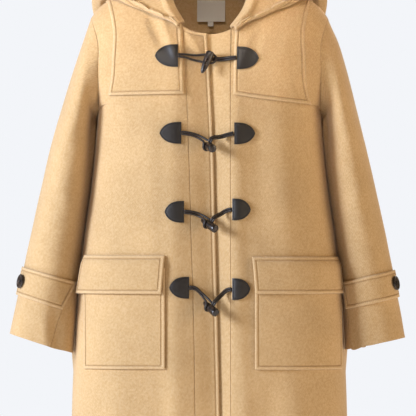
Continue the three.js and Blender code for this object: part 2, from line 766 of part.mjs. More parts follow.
function makePocket(handName, hand) {
  const pocket = pockets[hand];
  const pocketRows = count(0, 6).map((i) => (
    { share: i / 6, z: mix(pocket.top, pocket.bottom, i / 6), lift: layerGap + 0.3 }
  ));
  makePatch(`pocket_${handName}`, hand, pocketRows, 8, () => pocket.inner, () => pocket.outer);

  const flap = flaps[hand];
  const rows = flapRows.map((row) => (
    { share: row.down, z: mix(flap.top, flap.bottom, row.down), lift: row.lift }
  ));
  const inner = (share) => mix(flap.innerTop, flap.innerBottom, share);
  const outer = (share) => mix(flap.outerTop, flap.outerBottom, share);
  makePatch(`pocket_flap_${handName}`, hand, rows, 8, inner, outer);
}

// --- hood ---

const hoodStand = readColumn(hoodStations, "angle", "stand");
const hoodReach = readColumn(hoodStations, "angle", "reach");
const hoodLoft = readColumn(hoodStations, "angle", "loft");
const hoodComeBack = readColumn(hoodStations, "angle", "comeBack");

// The coat's outline in the upright plane at an angle round the neck, from the neck edge outwards:
// how far along it, the distance from the axis and the height.
function outlineFrom(side, angle, topZ, length) {
  const steps = [];
  let z = topZ;
  let far = 0;
  let before = null;
  while (far < length) {
    const point = formPoint(side, angle, z);
    const spot = { radius: Math.hypot(point.x, point.y), z };
    if (before) far += Math.hypot(spot.radius - before.radius, spot.z - before.z);
    steps.push({ far, ...spot });
    before = spot;
    z -= 0.5;
  }
  return steps;
}

// The neck edge's point at an angle from its side's middle.
function neckAt(side, hand, turn) {
  let low = 0;
  let high = form.half(neckPointZ);
  for (let k = 0; k < 40; k += 1) {
    const middle = (low + high) / 2;
    if (angleOf(side, neckSpot(side, middle)) < turn * degree) low = middle;
    else high = middle;
  }
  return neckSpot(side, hand * high);
}

// One section of the hood, as distances from the axis and heights: up from the neck seam, over,
// out along the coat to the fold, and back along the top layer to the rim.
function hoodSection(hand, around) {
  const side = around > 90 ? BACK : FRONT;
  const neck = neckAt(side, hand, side === FRONT ? around : 180 - around);
  const radius = Math.hypot(neck.x, neck.y);
  const stand = hoodStand(around);
  const reach = hoodReach(around);
  const loft = hoodLoft(around);
  const comeBack = hoodComeBack(around);
  const outline = outlineFrom(side, angleOf(side, neck), neck.z, reach + 20);
  const along = (far) => {
    let k = 1;
    while (k < outline.length - 1 && outline[k].far < far) k += 1;
    const way = new THREE.Vector2(
      outline[k].radius - outline[k - 1].radius,
      outline[k].z - outline[k - 1].z,
    ).normalize();
    return { at: new THREE.Vector2(outline[k].radius, outline[k].z), off: new THREE.Vector2(-way.y, way.x) };
  };
  const over = (far, lift) => {
    const { at, off } = along(far);
    return at.clone().addScaledVector(off, lift);
  };
  const bend = Math.min(loft / 2, reach * 0.4);
  const rimFar = reach - comeBack;
  const points = [
    new THREE.Vector2(radius - 0.3, neck.z + 1.4),
    new THREE.Vector2(radius - 1, neck.z + 1 + stand * 0.55),
    over(Math.min(3, reach * 0.2), hoodClear + stand * 0.62),
    over(Math.min(12, reach * 0.4), hoodClear + stand * 0.24),
    over(mix(Math.min(12, reach * 0.4), reach - bend, 0.45), hoodClear),
    over(reach - bend, hoodClear),
    over(reach - bend * 0.2, hoodClear + loft * 0.2),
    over(reach, hoodClear + loft * 0.5),
    over(reach - bend * 0.2, hoodClear + loft * 0.82),
    over(reach - bend, hoodClear + loft),
  ];
  for (const share of [0.33, 0.67, 1]) {
    const lift = hoodClear + loft + 0.06 * comeBack * share;
    points.push(over(Math.min(mix(reach - bend, rimFar, share), reach - bend - share), lift));
  }
  const sine = neck.x / radius;
  const cosine = neck.y / radius;
  return points.map((point) => new THREE.Vector3(sine * point.x, cosine * point.x, point.y));
}

const hoodAngles = [38, 46, 54, 62, 70, 77, 83, 90, 97, 103, 111, 120, 130, 142, 154, 167, 180];

function makeHoodHalf(handName, hand, seamX) {
  const corner = neckSpot(FRONT, seamX(seamTop(seamX)));
  const first = Math.abs(angleOf(FRONT, corner)) / degree;
  const sections = [first, ...hoodAngles].map((around) => hoodSection(hand, around));
  const last = sections.length - 1;
  const normals = sections.map((section, i) => section.map((point, j) => {
    const round = sections[Math.min(i + 1, last)][j].clone().sub(sections[Math.max(i - 1, 0)][j]);
    const out = section[Math.min(j + 1, section.length - 1)].clone().sub(section[Math.max(j - 1, 0)]);
    return round.cross(out).normalize();
  }));
  const standNormal = normals[last][0];
  if (standNormal.y < 0) normals.forEach((row) => row.forEach((normal) => normal.negate()));
  const inward = normals.map((row) => row.map((normal) => normal.clone().negate()));
  inward[last].forEach((way) => way.setX(0).normalize());
  normals[last].forEach((way) => way.setX(0).normalize());
  drawInBorders(sections, normals, [{ name: "bottom" }]);
  addWall(`hood_${handName}`, sections, inward);
}

// --- toggles ---

// A leather tab: straight at the cord's edge, its sides curving in to a point.
function makeTab(name, hand, row) {
  const place = hand === RIGHT ? row.right : row.left;
  const steps = [0, 0.3, 0.55, 0.76, 0.91, 1];
  const spots = steps.map((share) => {
    const half = mix(tab.tipHalf, tab.tall / 2, (1 - share ** 3) ** 0.68);
    const x = place.x + hand * place.long * share;
    return [-1, 0, 1].map((way) => spotAt(FRONT, x, place.z + way * half));
  });
  const patch = layOnForm(spots, () => row.lift, tab.thick);
  addWall(name, patch.points, patch.inward, tab.thick, "leather");
}

function addCord(name, route, steps) {
  const path = new THREE.CatmullRomCurve3(route);
  const section = new THREE.Shape(count(0, 7).map((k) => (
    new THREE.Vector2(cord.radius, 0).rotateAround(new THREE.Vector2(), (k * Math.PI) / 4)
  )));
  addMesh(name, new THREE.ExtrudeGeometry(section, { steps, extrudePath: path, curveSegments: 1 }), "cord");
}

// Two cords side by side along one route, the first of them on its upper side.
function addTwoCords(name, route) {
  const middle = new THREE.CatmullRomCurve3(route);
  const steps = 9;
  [["a", 1], ["b", -1]].forEach(([letter, way]) => {
    const points = count(0, steps).map((k) => {
      const across = middle.getTangent(k / steps).cross(new THREE.Vector3(0, -1, 0)).normalize();
      return middle.getPoint(k / steps).addScaledVector(across, way * cord.apart);
    });
    addCord(`${name}${letter}`, points, steps);
  });
}

function makeToggle(row) {
  const tip = overFront(row.tip.x, row.tip.z, row.tip.lift);
  const end = overFront(row.end.x, row.end.z, row.end.lift);
  const profile = [
    [0, 0],
    [0.06, 0.04],
    [0.4, 0.1],
    [0.68, 0.3],
    [0.9, 0.55],
    [1, 0.8],
    [1, 0.97],
    [0.92, 1],
    [0, 1],
  ].map(([wide, far]) => new THREE.Vector2(wide * toggle.radius, far * toggle.length));
  const mesh = addMesh(`toggle_${row.name}`, new THREE.LatheGeometry(profile, 12), "horn");
  mesh.position.copy(tip);
  const axis = end.sub(tip).normalize();
  mesh.quaternion.setFromUnitVectors(new THREE.Vector3(0, 1, 0), axis);
  return { tip, axis };
}

// The top row lies flat: the loop passes behind the toggle and turns round the toggle's own cord.
function makeFlatCords(row) {
  const { right, left } = row;
  const level = row.lift + 2;
  addCord(`loop_${row.name}`, [
    overFront(right.x + 0.4, right.z + cord.apart, level),
    overFront(right.x + 12, right.z + 1.6, level - 0.2),
    overFront(-24, right.z + 0.6, 5.4),
    overFront(-8, -119.6, 9.4),
    overFront(3, -119, 9.6),
    overFront(10.5, -122.4, 9.6),
    overFront(11.5, -128.4, 9.6),
    overFront(6, -133.8, 9.6),
    overFront(-6, -134, 9.6),
    overFront(-16, -131.4, 8.6),
    overFront(-30, -127.6, 5.4),
    overFront(right.x + 12, right.z - 3.4, level - 0.2),
    overFront(right.x + 0.4, right.z - cord.apart, level),
  ], 24);
  addTwoCords(`toggle_cord_${row.name}`, [
    overFront(left.x - 1, left.z, level),
    overFront(left.x - 10, left.z - 0.6, level - 0.2),
    overFront(28, left.z - 1.4, 4),
    overFront(15, left.z - 2, 4.2),
    overFront(5, -126.2, 6),
    overFront(-1.5, -126.8, 8.6),
    overFront(-3.6, -128, 9.6),
  ]);
}

// The lower toggles hang across their cords: the loop passes once round the toggle's waist, and the
// toggle's own cord meets it nearer the flat end.
function makeHangingCords(row, hung) {
  const { right, left } = row;
  const level = row.lift + 2;
  const up = new THREE.Vector3(0, 0, 1);
  up.addScaledVector(hung.axis, -up.dot(hung.axis)).normalize();
  const across = new THREE.Vector3().crossVectors(hung.axis, up).normalize();
  const waist = hung.tip.clone().addScaledVector(hung.axis, toggle.length * 0.42);
  const ringRadius = toggle.radius * 0.8 + cord.radius + 0.7;
  const ring = (turn) => waist.clone()
    .addScaledVector(up, ringRadius * Math.cos(turn * degree))
    .addScaledVector(across, ringRadius * Math.sin(turn * degree));
  const ends = [ring(48), ring(-48)].sort((a, b) => a.x - b.x);
  const flip = ends[0].distanceTo(ring(48)) < 1 ? 1 : -1;
  const meet = { x: waist.x, z: waist.z + ringRadius };
  addCord(`loop_${row.name}`, [
    overFront(right.x + 0.4, right.z + cord.apart, level),
    overFront(right.x + 10, right.z + 1, level + 1.6),
    overFront(mix(right.x, meet.x, 0.6), mix(right.z, meet.z, 0.42) + 3, level + 5),
    ...[-52, -90, -135, 180, 135, 90, 52].map((turn) => ring(turn * flip)),
    overFront(mix(right.x, meet.x, 0.6), mix(right.z, meet.z, 0.42) - 2.4, level + 5),
    overFront(right.x + 10, right.z - 3, level + 1.6),
    overFront(right.x + 0.4, right.z - cord.apart, level),
  ], 24);
  const hold = hung.tip.clone()
    .addScaledVector(hung.axis, toggle.length * 0.62)
    .addScaledVector(up, toggle.radius * 0.96 + 0.3);
  addTwoCords(`toggle_cord_${row.name}`, [
    overFront(left.x - 1, left.z, level),
    overFront(left.x - 9, left.z - 2, level + 2),
    overFront(mix(left.x, hold.x, 0.55), mix(left.z, hold.z, 0.4), level + 10),
    hold.clone().addScaledVector(up, 7).add(new THREE.Vector3(3, 1, 1)),
    hold.clone().addScaledVector(up, 0.6),
  ]);
}

// --- the coat ---

makeFront("front_right", RIGHT, rightSeamX);
makeFront("front_left", LEFT, leftSeamX);
makeBack();
makeBand("front_band_right", rightSeamX, [
  { x: rightSeamX, lift: 0 },
  { x: (z) => mix(rightSeamX(z), lapX(z), 0.3), lift: 1 },
  { x: (z) => mix(rightSeamX(z), lapX(z), 0.65), lift: 1.8 },
  { x: lapX, lift: 1.8 },
]);
makeBand("front_band_left", leftSeamX, [
  { x: leftSeamX, lift: 0 },
  { x: (z) => mix(leftSeamX(z), lapX(z), 0.5), lift: -0.8 },
  { x: (z) => lapX(z) + 2, lift: -2.4 },
  { x: (z) => lapX(z) - underlap / 2, lift: -2.4 },
  { x: (z) => lapX(z) - underlap, lift: -2.4 },
]);
for (const [handName, hand] of [["right", RIGHT], ["left", LEFT]]) {
  makeSleeve(handName, hand);
  makeStrap(handName, hand);
  makeYoke(handName, hand);
  makePocket(handName, hand);
  makeHoodHalf(handName, hand, hand === RIGHT ? rightSeamX : leftSeamX);
}

// The label and its size tab, inside the back under the neck seam.
function makeLabel(name, piece) {
  const spots = count(0, 2).map((i) => count(0, 3).map((j) => (
    spotAt(BACK, mix(piece.left, piece.right, j / 3), mix(piece.top, piece.bottom, i / 2))
  )));
  const patch = layOnForm(spots, () => -label.clear - label.thick, label.thick);
  addWall(name, patch.points, patch.inward, label.thick, "label");
}
makeLabel("neck_label", label);
makeLabel("size_tab", sizeTab);

for (const row of toggleRows) {
  makeTab(`tab_right_${row.name}`, RIGHT, row);
  makeTab(`tab_left_${row.name}`, LEFT, row);
  const hung = makeToggle(row);
  if (row.name === "1") makeFlatCords(row);
  else makeHangingCords(row, hung);
}

export default coat;
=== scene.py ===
import math

import bmesh
import bpy
import numpy as np
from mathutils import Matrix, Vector, noise
from mathutils.bvhtree import BVHTree
from mathutils.kdtree import KDTree


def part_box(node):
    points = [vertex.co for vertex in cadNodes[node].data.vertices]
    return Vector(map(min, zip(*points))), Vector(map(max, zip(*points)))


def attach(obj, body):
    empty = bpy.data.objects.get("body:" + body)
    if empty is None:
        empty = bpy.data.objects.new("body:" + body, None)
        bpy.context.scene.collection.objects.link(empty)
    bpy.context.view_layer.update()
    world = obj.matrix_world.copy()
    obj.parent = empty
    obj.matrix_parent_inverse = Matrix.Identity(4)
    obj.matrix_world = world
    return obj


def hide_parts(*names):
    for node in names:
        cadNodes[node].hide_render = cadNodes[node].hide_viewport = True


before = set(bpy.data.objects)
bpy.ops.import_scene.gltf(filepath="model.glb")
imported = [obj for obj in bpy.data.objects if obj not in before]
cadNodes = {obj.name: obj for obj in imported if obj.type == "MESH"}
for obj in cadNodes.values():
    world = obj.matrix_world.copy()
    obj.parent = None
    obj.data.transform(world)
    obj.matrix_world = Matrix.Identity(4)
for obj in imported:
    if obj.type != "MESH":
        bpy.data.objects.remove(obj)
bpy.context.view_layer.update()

mm = 0.001
scene = bpy.context.scene
bpy.ops.object.select_all(action="DESELECT")
print("frame loaded:", len(cadNodes), "solids")


# camera, looking straight at the front from far off
shot = {"width": 748.8, "centreX": -2.7, "centreZ": -392.4, "planeY": -80, "distance": 16000}

bpy.ops.object.camera_add(
    location=(shot["centreX"] * mm, (shot["planeY"] - shot["distance"]) * mm, shot["centreZ"] * mm),
    rotation=(math.pi / 2, 0, 0),
)
camera = bpy.context.object
camera.data.sensor_width = 36
camera.data.lens = 36 * shot["distance"] / shot["width"]
camera.data.clip_end = 100
scene.camera = camera
print("camera set, lens", round(camera.data.lens), "mm")


# a primitive, alone in the selection, with its place in its mesh
def addShape(primitive, **settings):
    bpy.ops.object.select_all(action="DESELECT")
    primitive(**settings)
    bpy.ops.object.transform_apply(location=True, rotation=True, scale=True)
    return bpy.context.object


def pickOnly(piece):
    bpy.ops.object.select_all(action="DESELECT")
    piece.select_set(True)
    bpy.context.view_layer.objects.active = piece


# edit-mode steps, each on the whole mesh: an operator and its settings
def editWhole(piece, *steps):
    pickOnly(piece)
    bpy.ops.object.mode_set(mode="EDIT")
    for operator, settings in steps:
        bpy.ops.mesh.select_all(action="SELECT")
        operator(**settings)
    bpy.ops.object.mode_set(mode="OBJECT")


def applyModifier(piece, kind, **settings):
    modifier = piece.modifiers.new(kind.lower(), kind)
    for key, value in settings.items():
        setattr(modifier, key, value)
    pickOnly(piece)
    bpy.ops.object.modifier_apply(modifier=modifier.name)


def newPiece(name, mesh):
    piece = bpy.data.objects.new(name, mesh)
    scene.collection.objects.link(piece)
    return piece


def removePiece(piece):
    bpy.data.objects.remove(piece)


def nodePoints(nodeName):
    return np.array([v.co for v in cadNodes[nodeName].data.vertices])


def meshPoints(piece):
    points = np.zeros(len(piece.data.vertices) * 3)
    piece.data.vertices.foreach_get("co", points)
    return points.reshape(-1, 3)


def setPoints(piece, points):
    piece.data.vertices.foreach_set("co", points.astype(np.float32).ravel())
    piece.data.update()


def meshNormals(piece):
    normals = np.zeros(len(piece.data.vertices) * 3)
    piece.data.vertex_normals.foreach_get("vector", normals)
    return normals.reshape(-1, 3)


def setAttribute(piece, name, values):
    attribute = piece.data.attributes.get(name) or piece.data.attributes.new(name, "FLOAT", "POINT")
    attribute.data.foreach_set("value", values.astype(np.float32))


def shadeSmooth(piece, degrees):
    pickOnly(piece)
    bpy.ops.object.shade_smooth_by_angle(angle=math.radians(degrees))


# rounds the edges sharper than an angle, and shades the rest smooth
def roundEdges(piece, width, sharper, smooth, segments=3):
    applyModifier(
        piece, "BEVEL", width=width * mm, segments=segments, limit_method="ANGLE",
        angle_limit=math.radians(sharper),
    )
    shadeSmooth(piece, smooth)


def solidify(piece, thick):
    applyModifier(piece, "SOLIDIFY", thickness=thick, offset=-1, use_quality_normals=True)


def unit(vectors):
    return vectors / np.maximum(np.linalg.norm(vectors, axis=-1, keepdims=True), 1e-9)


# eases a share between 0 and 1 in and out
def ease(share):
    return share * share * (3 - 2 * share)


# how far along a line each of its points is
def runAlong(line):
    return np.concatenate([[0], np.cumsum(np.linalg.norm(np.diff(line, axis=0), axis=1))])


# the surface of some pieces, to be met by rays
def surfaceOf(*pieces):
    points, faces = [], []
    for piece in pieces:
        first = len(points)
        points += [v.co.copy() for v in piece.data.vertices]
        faces += [[first + v for v in polygon.vertices] for polygon in piece.data.polygons]
    return BVHTree.FromPolygons(points, faces)


def finishPiece(piece, material, slot, *standsFor):
    piece.data.materials.clear()
    piece.data.materials.append(material)
    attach(piece, "root")
    if standsFor:
        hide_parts(*standsFor)


# a smooth line through points, cut to even steps
def smoothLine(points, step):
    points = np.array(points, float)
    at = runAlong(points)
    slopes = np.gradient(points, at, axis=0)
    count = max(int(at[-1] / step), 2)
    made = []
    for s in np.linspace(0, at[-1], count + 1):
        i = min(np.searchsorted(at, s, side="right") - 1, len(at) - 2)
        span = at[i + 1] - at[i]
        t = (s - at[i]) / span
        made.append(
            (1 + 2 * t) * (1 - t) ** 2 * points[i] + t * t * (3 - 2 * t) * points[i + 1]
            + span * (t * (1 - t) ** 2 * slopes[i] - t * t * (1 - t) * slopes[i + 1])
        )
    return np.array(made)


def colour(code):
    parts = [int(code[i:i + 2], 16) / 255 for i in (1, 3, 5)]
    return tuple(p / 12.92 if p <= 0.04045 else ((p + 0.055) / 1.055) ** 2.4 for p in parts) + (1.0,)


# adds a node: settings are its own values, inputs are numbers, colour codes or another node's output
def addNode(tree, kind, settings={}, inputs={}):
    made = tree.nodes.new(kind)
    for key, value in settings.items():
        setattr(made, key, value)
    for key, value in inputs.items():
        socket = made.inputs[key] if isinstance(key, int) else enabled(made.inputs, key)
        if isinstance(value, bpy.types.NodeSocket):
            tree.links.new(value, socket)
        else:
            socket.default_value = colour(value) if isinstance(value, str) else value
    return made


# a node can hold several sockets of one name, of which one is in use
def enabled(sockets, name):
    return next(socket for socket in sockets if socket.name == name and socket.enabled)


def noiseAt(tree, place, scale, detail, **inputs):
    return addNode(tree, "ShaderNodeTexNoise", {}, {
        "Vector": place, "Scale": scale, "Detail": detail, **inputs,
    }).outputs["Fac"]


def mixColours(tree, share, first, second, **settings):
    mixed = addNode(tree, "ShaderNodeMix", {"data_type": "RGBA", **settings}, {
        "Factor": share, "A": first, "B": second,
    })
    return enabled(mixed.outputs, "Result")


def remap(tree, value, start, end, low=0.0, high=1.0, kind="LINEAR"):
    return addNode(tree, "ShaderNodeMapRange", {"interpolation_type": kind}, {
        "Value": value, "From Min": start, "From Max": end, "To Min": low, "To Max": high,
    }).outputs["Result"]


# a narrow line at its distance in from a sewn edge: 1 at the line times its depth, 0 further off
def furrowAt(tree, edge, inMm, start, end, depth):
    off = addNode(tree, "ShaderNodeMath", {"operation": "SUBTRACT"}, {0: edge, 1: inMm})
    away = addNode(tree, "ShaderNodeMath", {"operation": "ABSOLUTE"}, {0: off.outputs["Value"]})
    return remap(tree, away.outputs["Value"], start, end, depth, 0.0, "SMOOTHSTEP")


def addBump(tree, strength, depthMm, height, over=None, **settings):
    inputs = {"Strength": strength, "Distance": depthMm * mm, "Height": height}
    if over:
        inputs["Normal"] = over
    return addNode(tree, "ShaderNodeBump", settings, inputs).outputs["Normal"]


def newMaterial(name):
    material = bpy.data.materials.new(name)
    material.use_nodes = True
    material.node_tree.nodes.clear()
    return material, material.node_tree


def objectPlace(tree):
    return addNode(tree, "ShaderNodeTexCoord").outputs["Object"]


def attributeOf(tree, name):
    return addNode(tree, "ShaderNodeAttribute", {"attribute_name": name}).outputs["Fac"]


def endMaterial(material, inputs):
    tree = material.node_tree
    shader = addNode(tree, "ShaderNodeBsdfPrincipled", {}, inputs)
    addNode(tree, "ShaderNodeOutputMaterial", {}, {"Surface": shader.outputs["BSDF"]})
    return material


# Melton is a thick twill that is fulled and brushed: the eye sees a soft grainy nap, faint slanting
# lines of the weave under it, a pale bloom where light grazes it, and no shine.
wool = {
    "light": "#D4B78D",
    "dark": "#B7945F",
    "thin": "#C9A778",       # what shows between the clumps, and how much it evens them out
    "thinShare": 0.52,
    # painted shade for the stitch furrows and the seams
    "paintedGrooveShade": "#8A6438",
    # a painted highlight along the welts: how much of it, and its colour
    "weltHighlightShare": 0.18,
    "weltHighlightColour": "#E6CDA6",
    "bloom": "#FFF3E2",
    "napMm": 3.4,            # clumps of nap
    "fibreMm": 1.1,
    "driftMm": 90,           # slow change of shade over the cloth
    "twillMm": 3.2,          # real ridges are 1.5 mm, drawn coarser so that they show
    "twillSlant": 38,
    "stitchInMm": 7,         # stitch line in from a sewn edge
}
wavesPerMetre = 314      # a wave texture's scale for one wave in each millimetre
ribbonRibMm = 1.2
# the welt's height by the share of weltMm in from the edge: it swells, dips at the stitches, and is flat
weltMm = 16
weltCurve = [
    (0, 0.25), (0.06, 0.62), (0.2, 0.95), (0.33, 0.8), (0.4375, 0.1), (0.55, 0.52), (0.8, 0.5), (1, 0.5),
]


def makeWool():
    material, tree = newMaterial("melton wool")
    place = objectPlace(tree)
    cloth = addNode(tree, "ShaderNodeUVMap", {"uv_map": "cloth"}).outputs["UV"]
    nap = noiseAt(tree, place, 1000 / wool["napMm"], 3.0, Roughness=0.62)
    fibre = noiseAt(tree, place, 1000 / wool["fibreMm"], 2.0, Roughness=0.6)
    drift = noiseAt(tree, place, 1000 / wool["driftMm"], 2.0, Roughness=0.5)
    slant = addNode(tree, "ShaderNodeMapping", {}, {
        "Vector": cloth, "Rotation": (0, 0, math.radians(wool["twillSlant"])),
    })
    twill = addNode(tree, "ShaderNodeTexWave", {"wave_type": "BANDS", "bands_direction": "X"}, {
        "Vector": slant.outputs["Vector"], "Scale": wavesPerMetre / wool["twillMm"],
        "Distortion": 5.0, "Detail": 2.0, "Detail Scale": 1.4, "Detail Roughness": 0.6,
    })
    clumps = remap(tree, nap, 0.32, 0.68, kind="SMOOTHSTEP")
    base = mixColours(tree, clumps, wool["dark"], wool["light"])
    base = mixColours(tree, wool["thinShare"], base, wool["thin"])
    base = mixColours(tree, 0.1, base, twill.outputs["Color"], blend_type="MULTIPLY")
    base = addNode(tree, "ShaderNodeHueSaturation", {}, {
        "Color": base, "Value": remap(tree, drift, 0.3, 0.7, 0.93, 1.05),
    }).outputs["Color"]
    # the welt between a sewn edge and its stitches is lightened with a painted highlight, and the stitches lie
    # in a furrow darkened with painted shade
    edge = attributeOf(tree, "edgeMm")
    paintedWeltHighlight = remap(tree, edge, 4.5, 6.5, wool["weltHighlightShare"], 0.0, "SMOOTHSTEP")
    base = mixColours(tree, paintedWeltHighlight, base, wool["weltHighlightColour"])
    furrow = furrowAt(tree, edge, wool["stitchInMm"], 0.2, 1.4, 0.36)
    base = mixColours(tree, furrow, base, wool["paintedGrooveShade"])
    # painted shade in the seams, within a millimetre of each cut edge
    paintedSeamShade = remap(tree, attributeOf(tree, "seamMm"), 0.1, 1.1, 0.24, 0.0, "SMOOTHSTEP")
    base = mixColours(tree, paintedSeamShade, base, wool["paintedGrooveShade"])
    share = addNode(tree, "ShaderNodeMath", {"operation": "MULTIPLY"}, {0: edge, 1: 1 / weltMm})
    welt = addNode(tree, "ShaderNodeFloatCurve", {}, {"Value": share.outputs["Value"]})
    curve = welt.mapping.curves[0]
    for x, y in weltCurve[1:-1]:
        curve.points.new(x, y)
    curve.points[0].location, curve.points[-1].location = weltCurve[0], weltCurve[-1]
    welt.mapping.update()
    normal = addBump(tree, 1.0, 1.5, welt.outputs["Value"])
    normal = addBump(tree, 0.35, 0.3, twill.outputs["Fac"], normal)
    normal = addBump(tree, 0.6, 0.55, nap, normal)
    normal = addBump(tree, 0.5, 0.25, fibre, normal)
    return endMaterial(material, {
        "Base Color": base, "Roughness": 0.95, "Specular IOR Level": 0.2,
        "Sheen Weight": 0.35, "Sheen Roughness": 0.5, "Sheen Tint": wool["bloom"], "Normal": normal,
    })


# Calf leather, dyed black and pressed smooth: a fine pebbled grain and a broad dull shine.
# the darkest colour here is painted shade in the stitch furrow
leather = {"body": "#2D2926", "pores": "#1C1917", "paintedGrooveShade": "#0F0D0C", "grainMm": 1.1, "stitchInMm": 2.4}


def makeLeather():
    material, tree = newMaterial("black calf leather")
    place = objectPlace(tree)
    grain = addNode(tree, "ShaderNodeTexVoronoi", {"feature": "F1"}, {
        "Vector": place, "Scale": 1000 / leather["grainMm"], "Randomness": 0.9,
    }).outputs["Distance"]
    clouds = noiseAt(tree, place, 160.0, 3.0)
    # the stitch furrow is bumped in and also darkened with painted shade
    furrow = furrowAt(tree, attributeOf(tree, "edgeMm"), leather["stitchInMm"], 0.1, 0.8, 0.8)
    base = mixColours(tree, clouds, leather["pores"], leather["body"])
    return endMaterial(material, {
        "Base Color": mixColours(tree, furrow, base, leather["paintedGrooveShade"]),
        "Roughness": remap(tree, clouds, 0.3, 0.7, 0.42, 0.58),
        "Normal": addBump(tree, 0.35, 0.15, grain, addBump(tree, 1.0, 0.5, furrow, invert=True)),
    })


# Buffalo horn, turned and polished: near black, with brown streaks along the grain and a clear shine.
def makeHorn(name, body, streak, along):
    material, tree = newMaterial(name)
    stretched = addNode(tree, "ShaderNodeMapping", {}, {"Vector": objectPlace(tree), "Scale": along})
    streaks = noiseAt(tree, stretched.outputs["Vector"], 260.0, 4.0, Distortion=0.6)
    share = remap(tree, streaks, 0.48, 0.75, kind="SMOOTHSTEP")
    return endMaterial(material, {
        "Base Color": mixColours(tree, share, body, streak), "IOR": 1.54,
        "Roughness": remap(tree, streaks, 0.3, 0.7, 0.24, 0.36), "Normal": addBump(tree, 0.15, 0.1, streaks),
    })


# Cotton cord, laid in strands and waxed: dark brown-black with a dull gleam on each strand.
def makeCordMaterial():
    material, tree = newMaterial("waxed cotton cord")
    fuzz = noiseAt(tree, objectPlace(tree), 1400.0, 2.0)
    return endMaterial(material, {
        "Base Color": mixColours(tree, fuzz, "#15110F", "#352C27"), "Roughness": 0.52,
        "Normal": addBump(tree, 0.4, 0.12, fuzz),
    })


# Polyester ribbon, woven close: bare white, with fine ribs across it.
def makeRibbon():
    material, tree = newMaterial("woven ribbon")
    cloth = addNode(tree, "ShaderNodeUVMap", {"uv_map": "cloth"}).outputs["UV"]
    ribs = addNode(tree, "ShaderNodeTexWave", {"wave_type": "BANDS", "bands_direction": "Y"}, {
        "Vector": cloth, "Scale": wavesPerMetre / ribbonRibMm, "Distortion": 0.6, "Detail": 1.0,
    }).outputs["Fac"]
    return endMaterial(material, {
        "Base Color": mixColours(tree, ribs, "#CFCFCB", "#F0F0EC"), "Roughness": 0.75, "Sheen Weight": 0.2,
        "Normal": addBump(tree, 0.4, 0.1, ribs),
    })


# Spun polyester sewing thread, a shade darker than the cloth or leather it sews.
def makeThread(name, light, dark):
    material, tree = newMaterial(name)
    twist = noiseAt(tree, objectPlace(tree), 2500.0, 1.0)
    return endMaterial(material, {"Base Color": mixColours(tree, twist, dark, light), "Roughness": 0.7})


woolMaterial = makeWool()
leatherMaterial = makeLeather()
hornMaterial = makeHorn("polished buffalo horn", "#1B1412", "#4B3A2F", (1.0, 0.35, 0.5))
buttonMaterial = makeHorn("dark horn button", "#221C1A", "#57483F", (0.6, 1.0, 0.6))
cordMaterial = makeCordMaterial()
ribbonMaterial = makeRibbon()
threadMaterial = makeThread("camel sewing thread", "#B88F5C", "#94703F")
blackThread = makeThread("black button thread", "#2B2725", "#131110")
print("materials made")


# Soft folds, in millimetres. Each is a line: x and z of one end, x and z of the other, how wide it is to
# each side and how far it stands out. A trough is negative.
frontFolds = [
    (-5, -92, 5, -420, 30, -12.5),
    (5, -420, 16, -900, 30, -12.5),
    (-66, -200, -62, -900, 20, 4.5),
    (38, -250, 42, -900, 9, 1.6),
    (48, -210, 52, -600, 14, 4.6),
    (50, -600, 70, -900, 17, 3.8),
    (-104, -215, -98, -560, 20, 2.4),
    (-112, -44, -84, -104, 10, -4),
    (-84, -54, -58, -124, 8, 3.6),
    (-42, -74, -14, -116, 8, 2.6),
    (126, -210, 142, -470, 22, 2.8),
    (84, -250, 96, -430, 16, -1.8),
    (150, -60, 118, -150, 12, 1.8),
    (92, -70, 70, -150, 10, -2.2),
    (-150, -211, -190, -212, 9, 2.4),
    (150, -211, 190, -212, 9, 2.4),
    (-160, -690, -176, -900, 26, 3.5),
    (-84, -700, -92, -900, 22, -3),
    (150, -700, 166, -900, 28, 3),
    (110, -710, 112, -900, 20, -2.4),
]
backFolds = [
    (6, -300, -4, -900, 34, -6),
    (-84, -330, -112, -900, 30, 4.5),
    (92, -360, 108, -900, 32, 4),
    (-160, -420, -176, -900, 22, -3),
    (166, -480, 178, -900, 24, -3.2),
    (-186, -190, -140, -330, 16, -3),
    (184, -196, 146, -310, 15, -2.6),
    (-60, -240, -20, -320, 20, 1.8),
]
sleeveFolds = {
    "right front": [
        (-232, -250, -256, -300, 13, -2.4),
        (-276, -330, -248, -392, 16, 1.8),
        (-250, -420, -296, -448, 14, -1.8),
        (-300, -586, -292, -665, 10, 2.6),
        (-280, -560, -272, -665, 9, -2.2),
    ],
    "right back": [
        (-240, -210, -270, -290, 18, -2.6),
        (-250, -330, -290, -400, 16, -2.2),
        (-262, -430, -306, -500, 18, 2),
    ],
    "left front": [
        (232, -256, 258, -312, 14, -2),
        (282, -350, 252, -404, 16, 1.6),
        (262, -440, 300, -474, 15, -1.6),
        (300, -590, 292, -665, 12, -1.6),
    ],
    "left back": [
        (240, -214, 268, -300, 18, -2.4),
        (252, -350, 292, -414, 17, -2.2),
        (262, -450, 300, -520, 18, 2),
    ],
}
# the hood lies nearly flat, so its folds are drawn on x and y
hoodFolds = [
    (-96, -20, -58, 10, 9, -2.2),
    (98, -14, 62, 12, 9, -2),
    (-60, 110, -116, 190, 16, -4.5),
    (-20, 120, -40, 230, 15, 3.5),
    (30, 118, 56, 230, 15, -4),
    (70, 104, 134, 170, 16, 3.5),
    (104, 70, 176, 90, 15, -3),
    (-110, 60, -180, 84, 15, 3),
]


# The sleeves hang close against the body. By height down: how far a sleeve's inner side leans in to
# it, and how the back swells out behind the arm.
armGap = {
    "down": (195, 220, 240, 280, 320, 360, 400, 440, 480, 520, 560, 600, 640, 700),
    "lean": (0, 7, 8.8, 7.4, 5.4, 3.9, 2.7, 2.1, 3.3, 4.3, 5.6, 6.2, 7.1, 7.2),
    "fade": (0, 1.2, 1.2, 1.1, 1, 1, 1, 1, 1, 1.1, 1.3, 1.4, 1.4, 0),
    "swell": 6.5, "behind": 32, "wide": 15, "fromMiddle": 120,
}
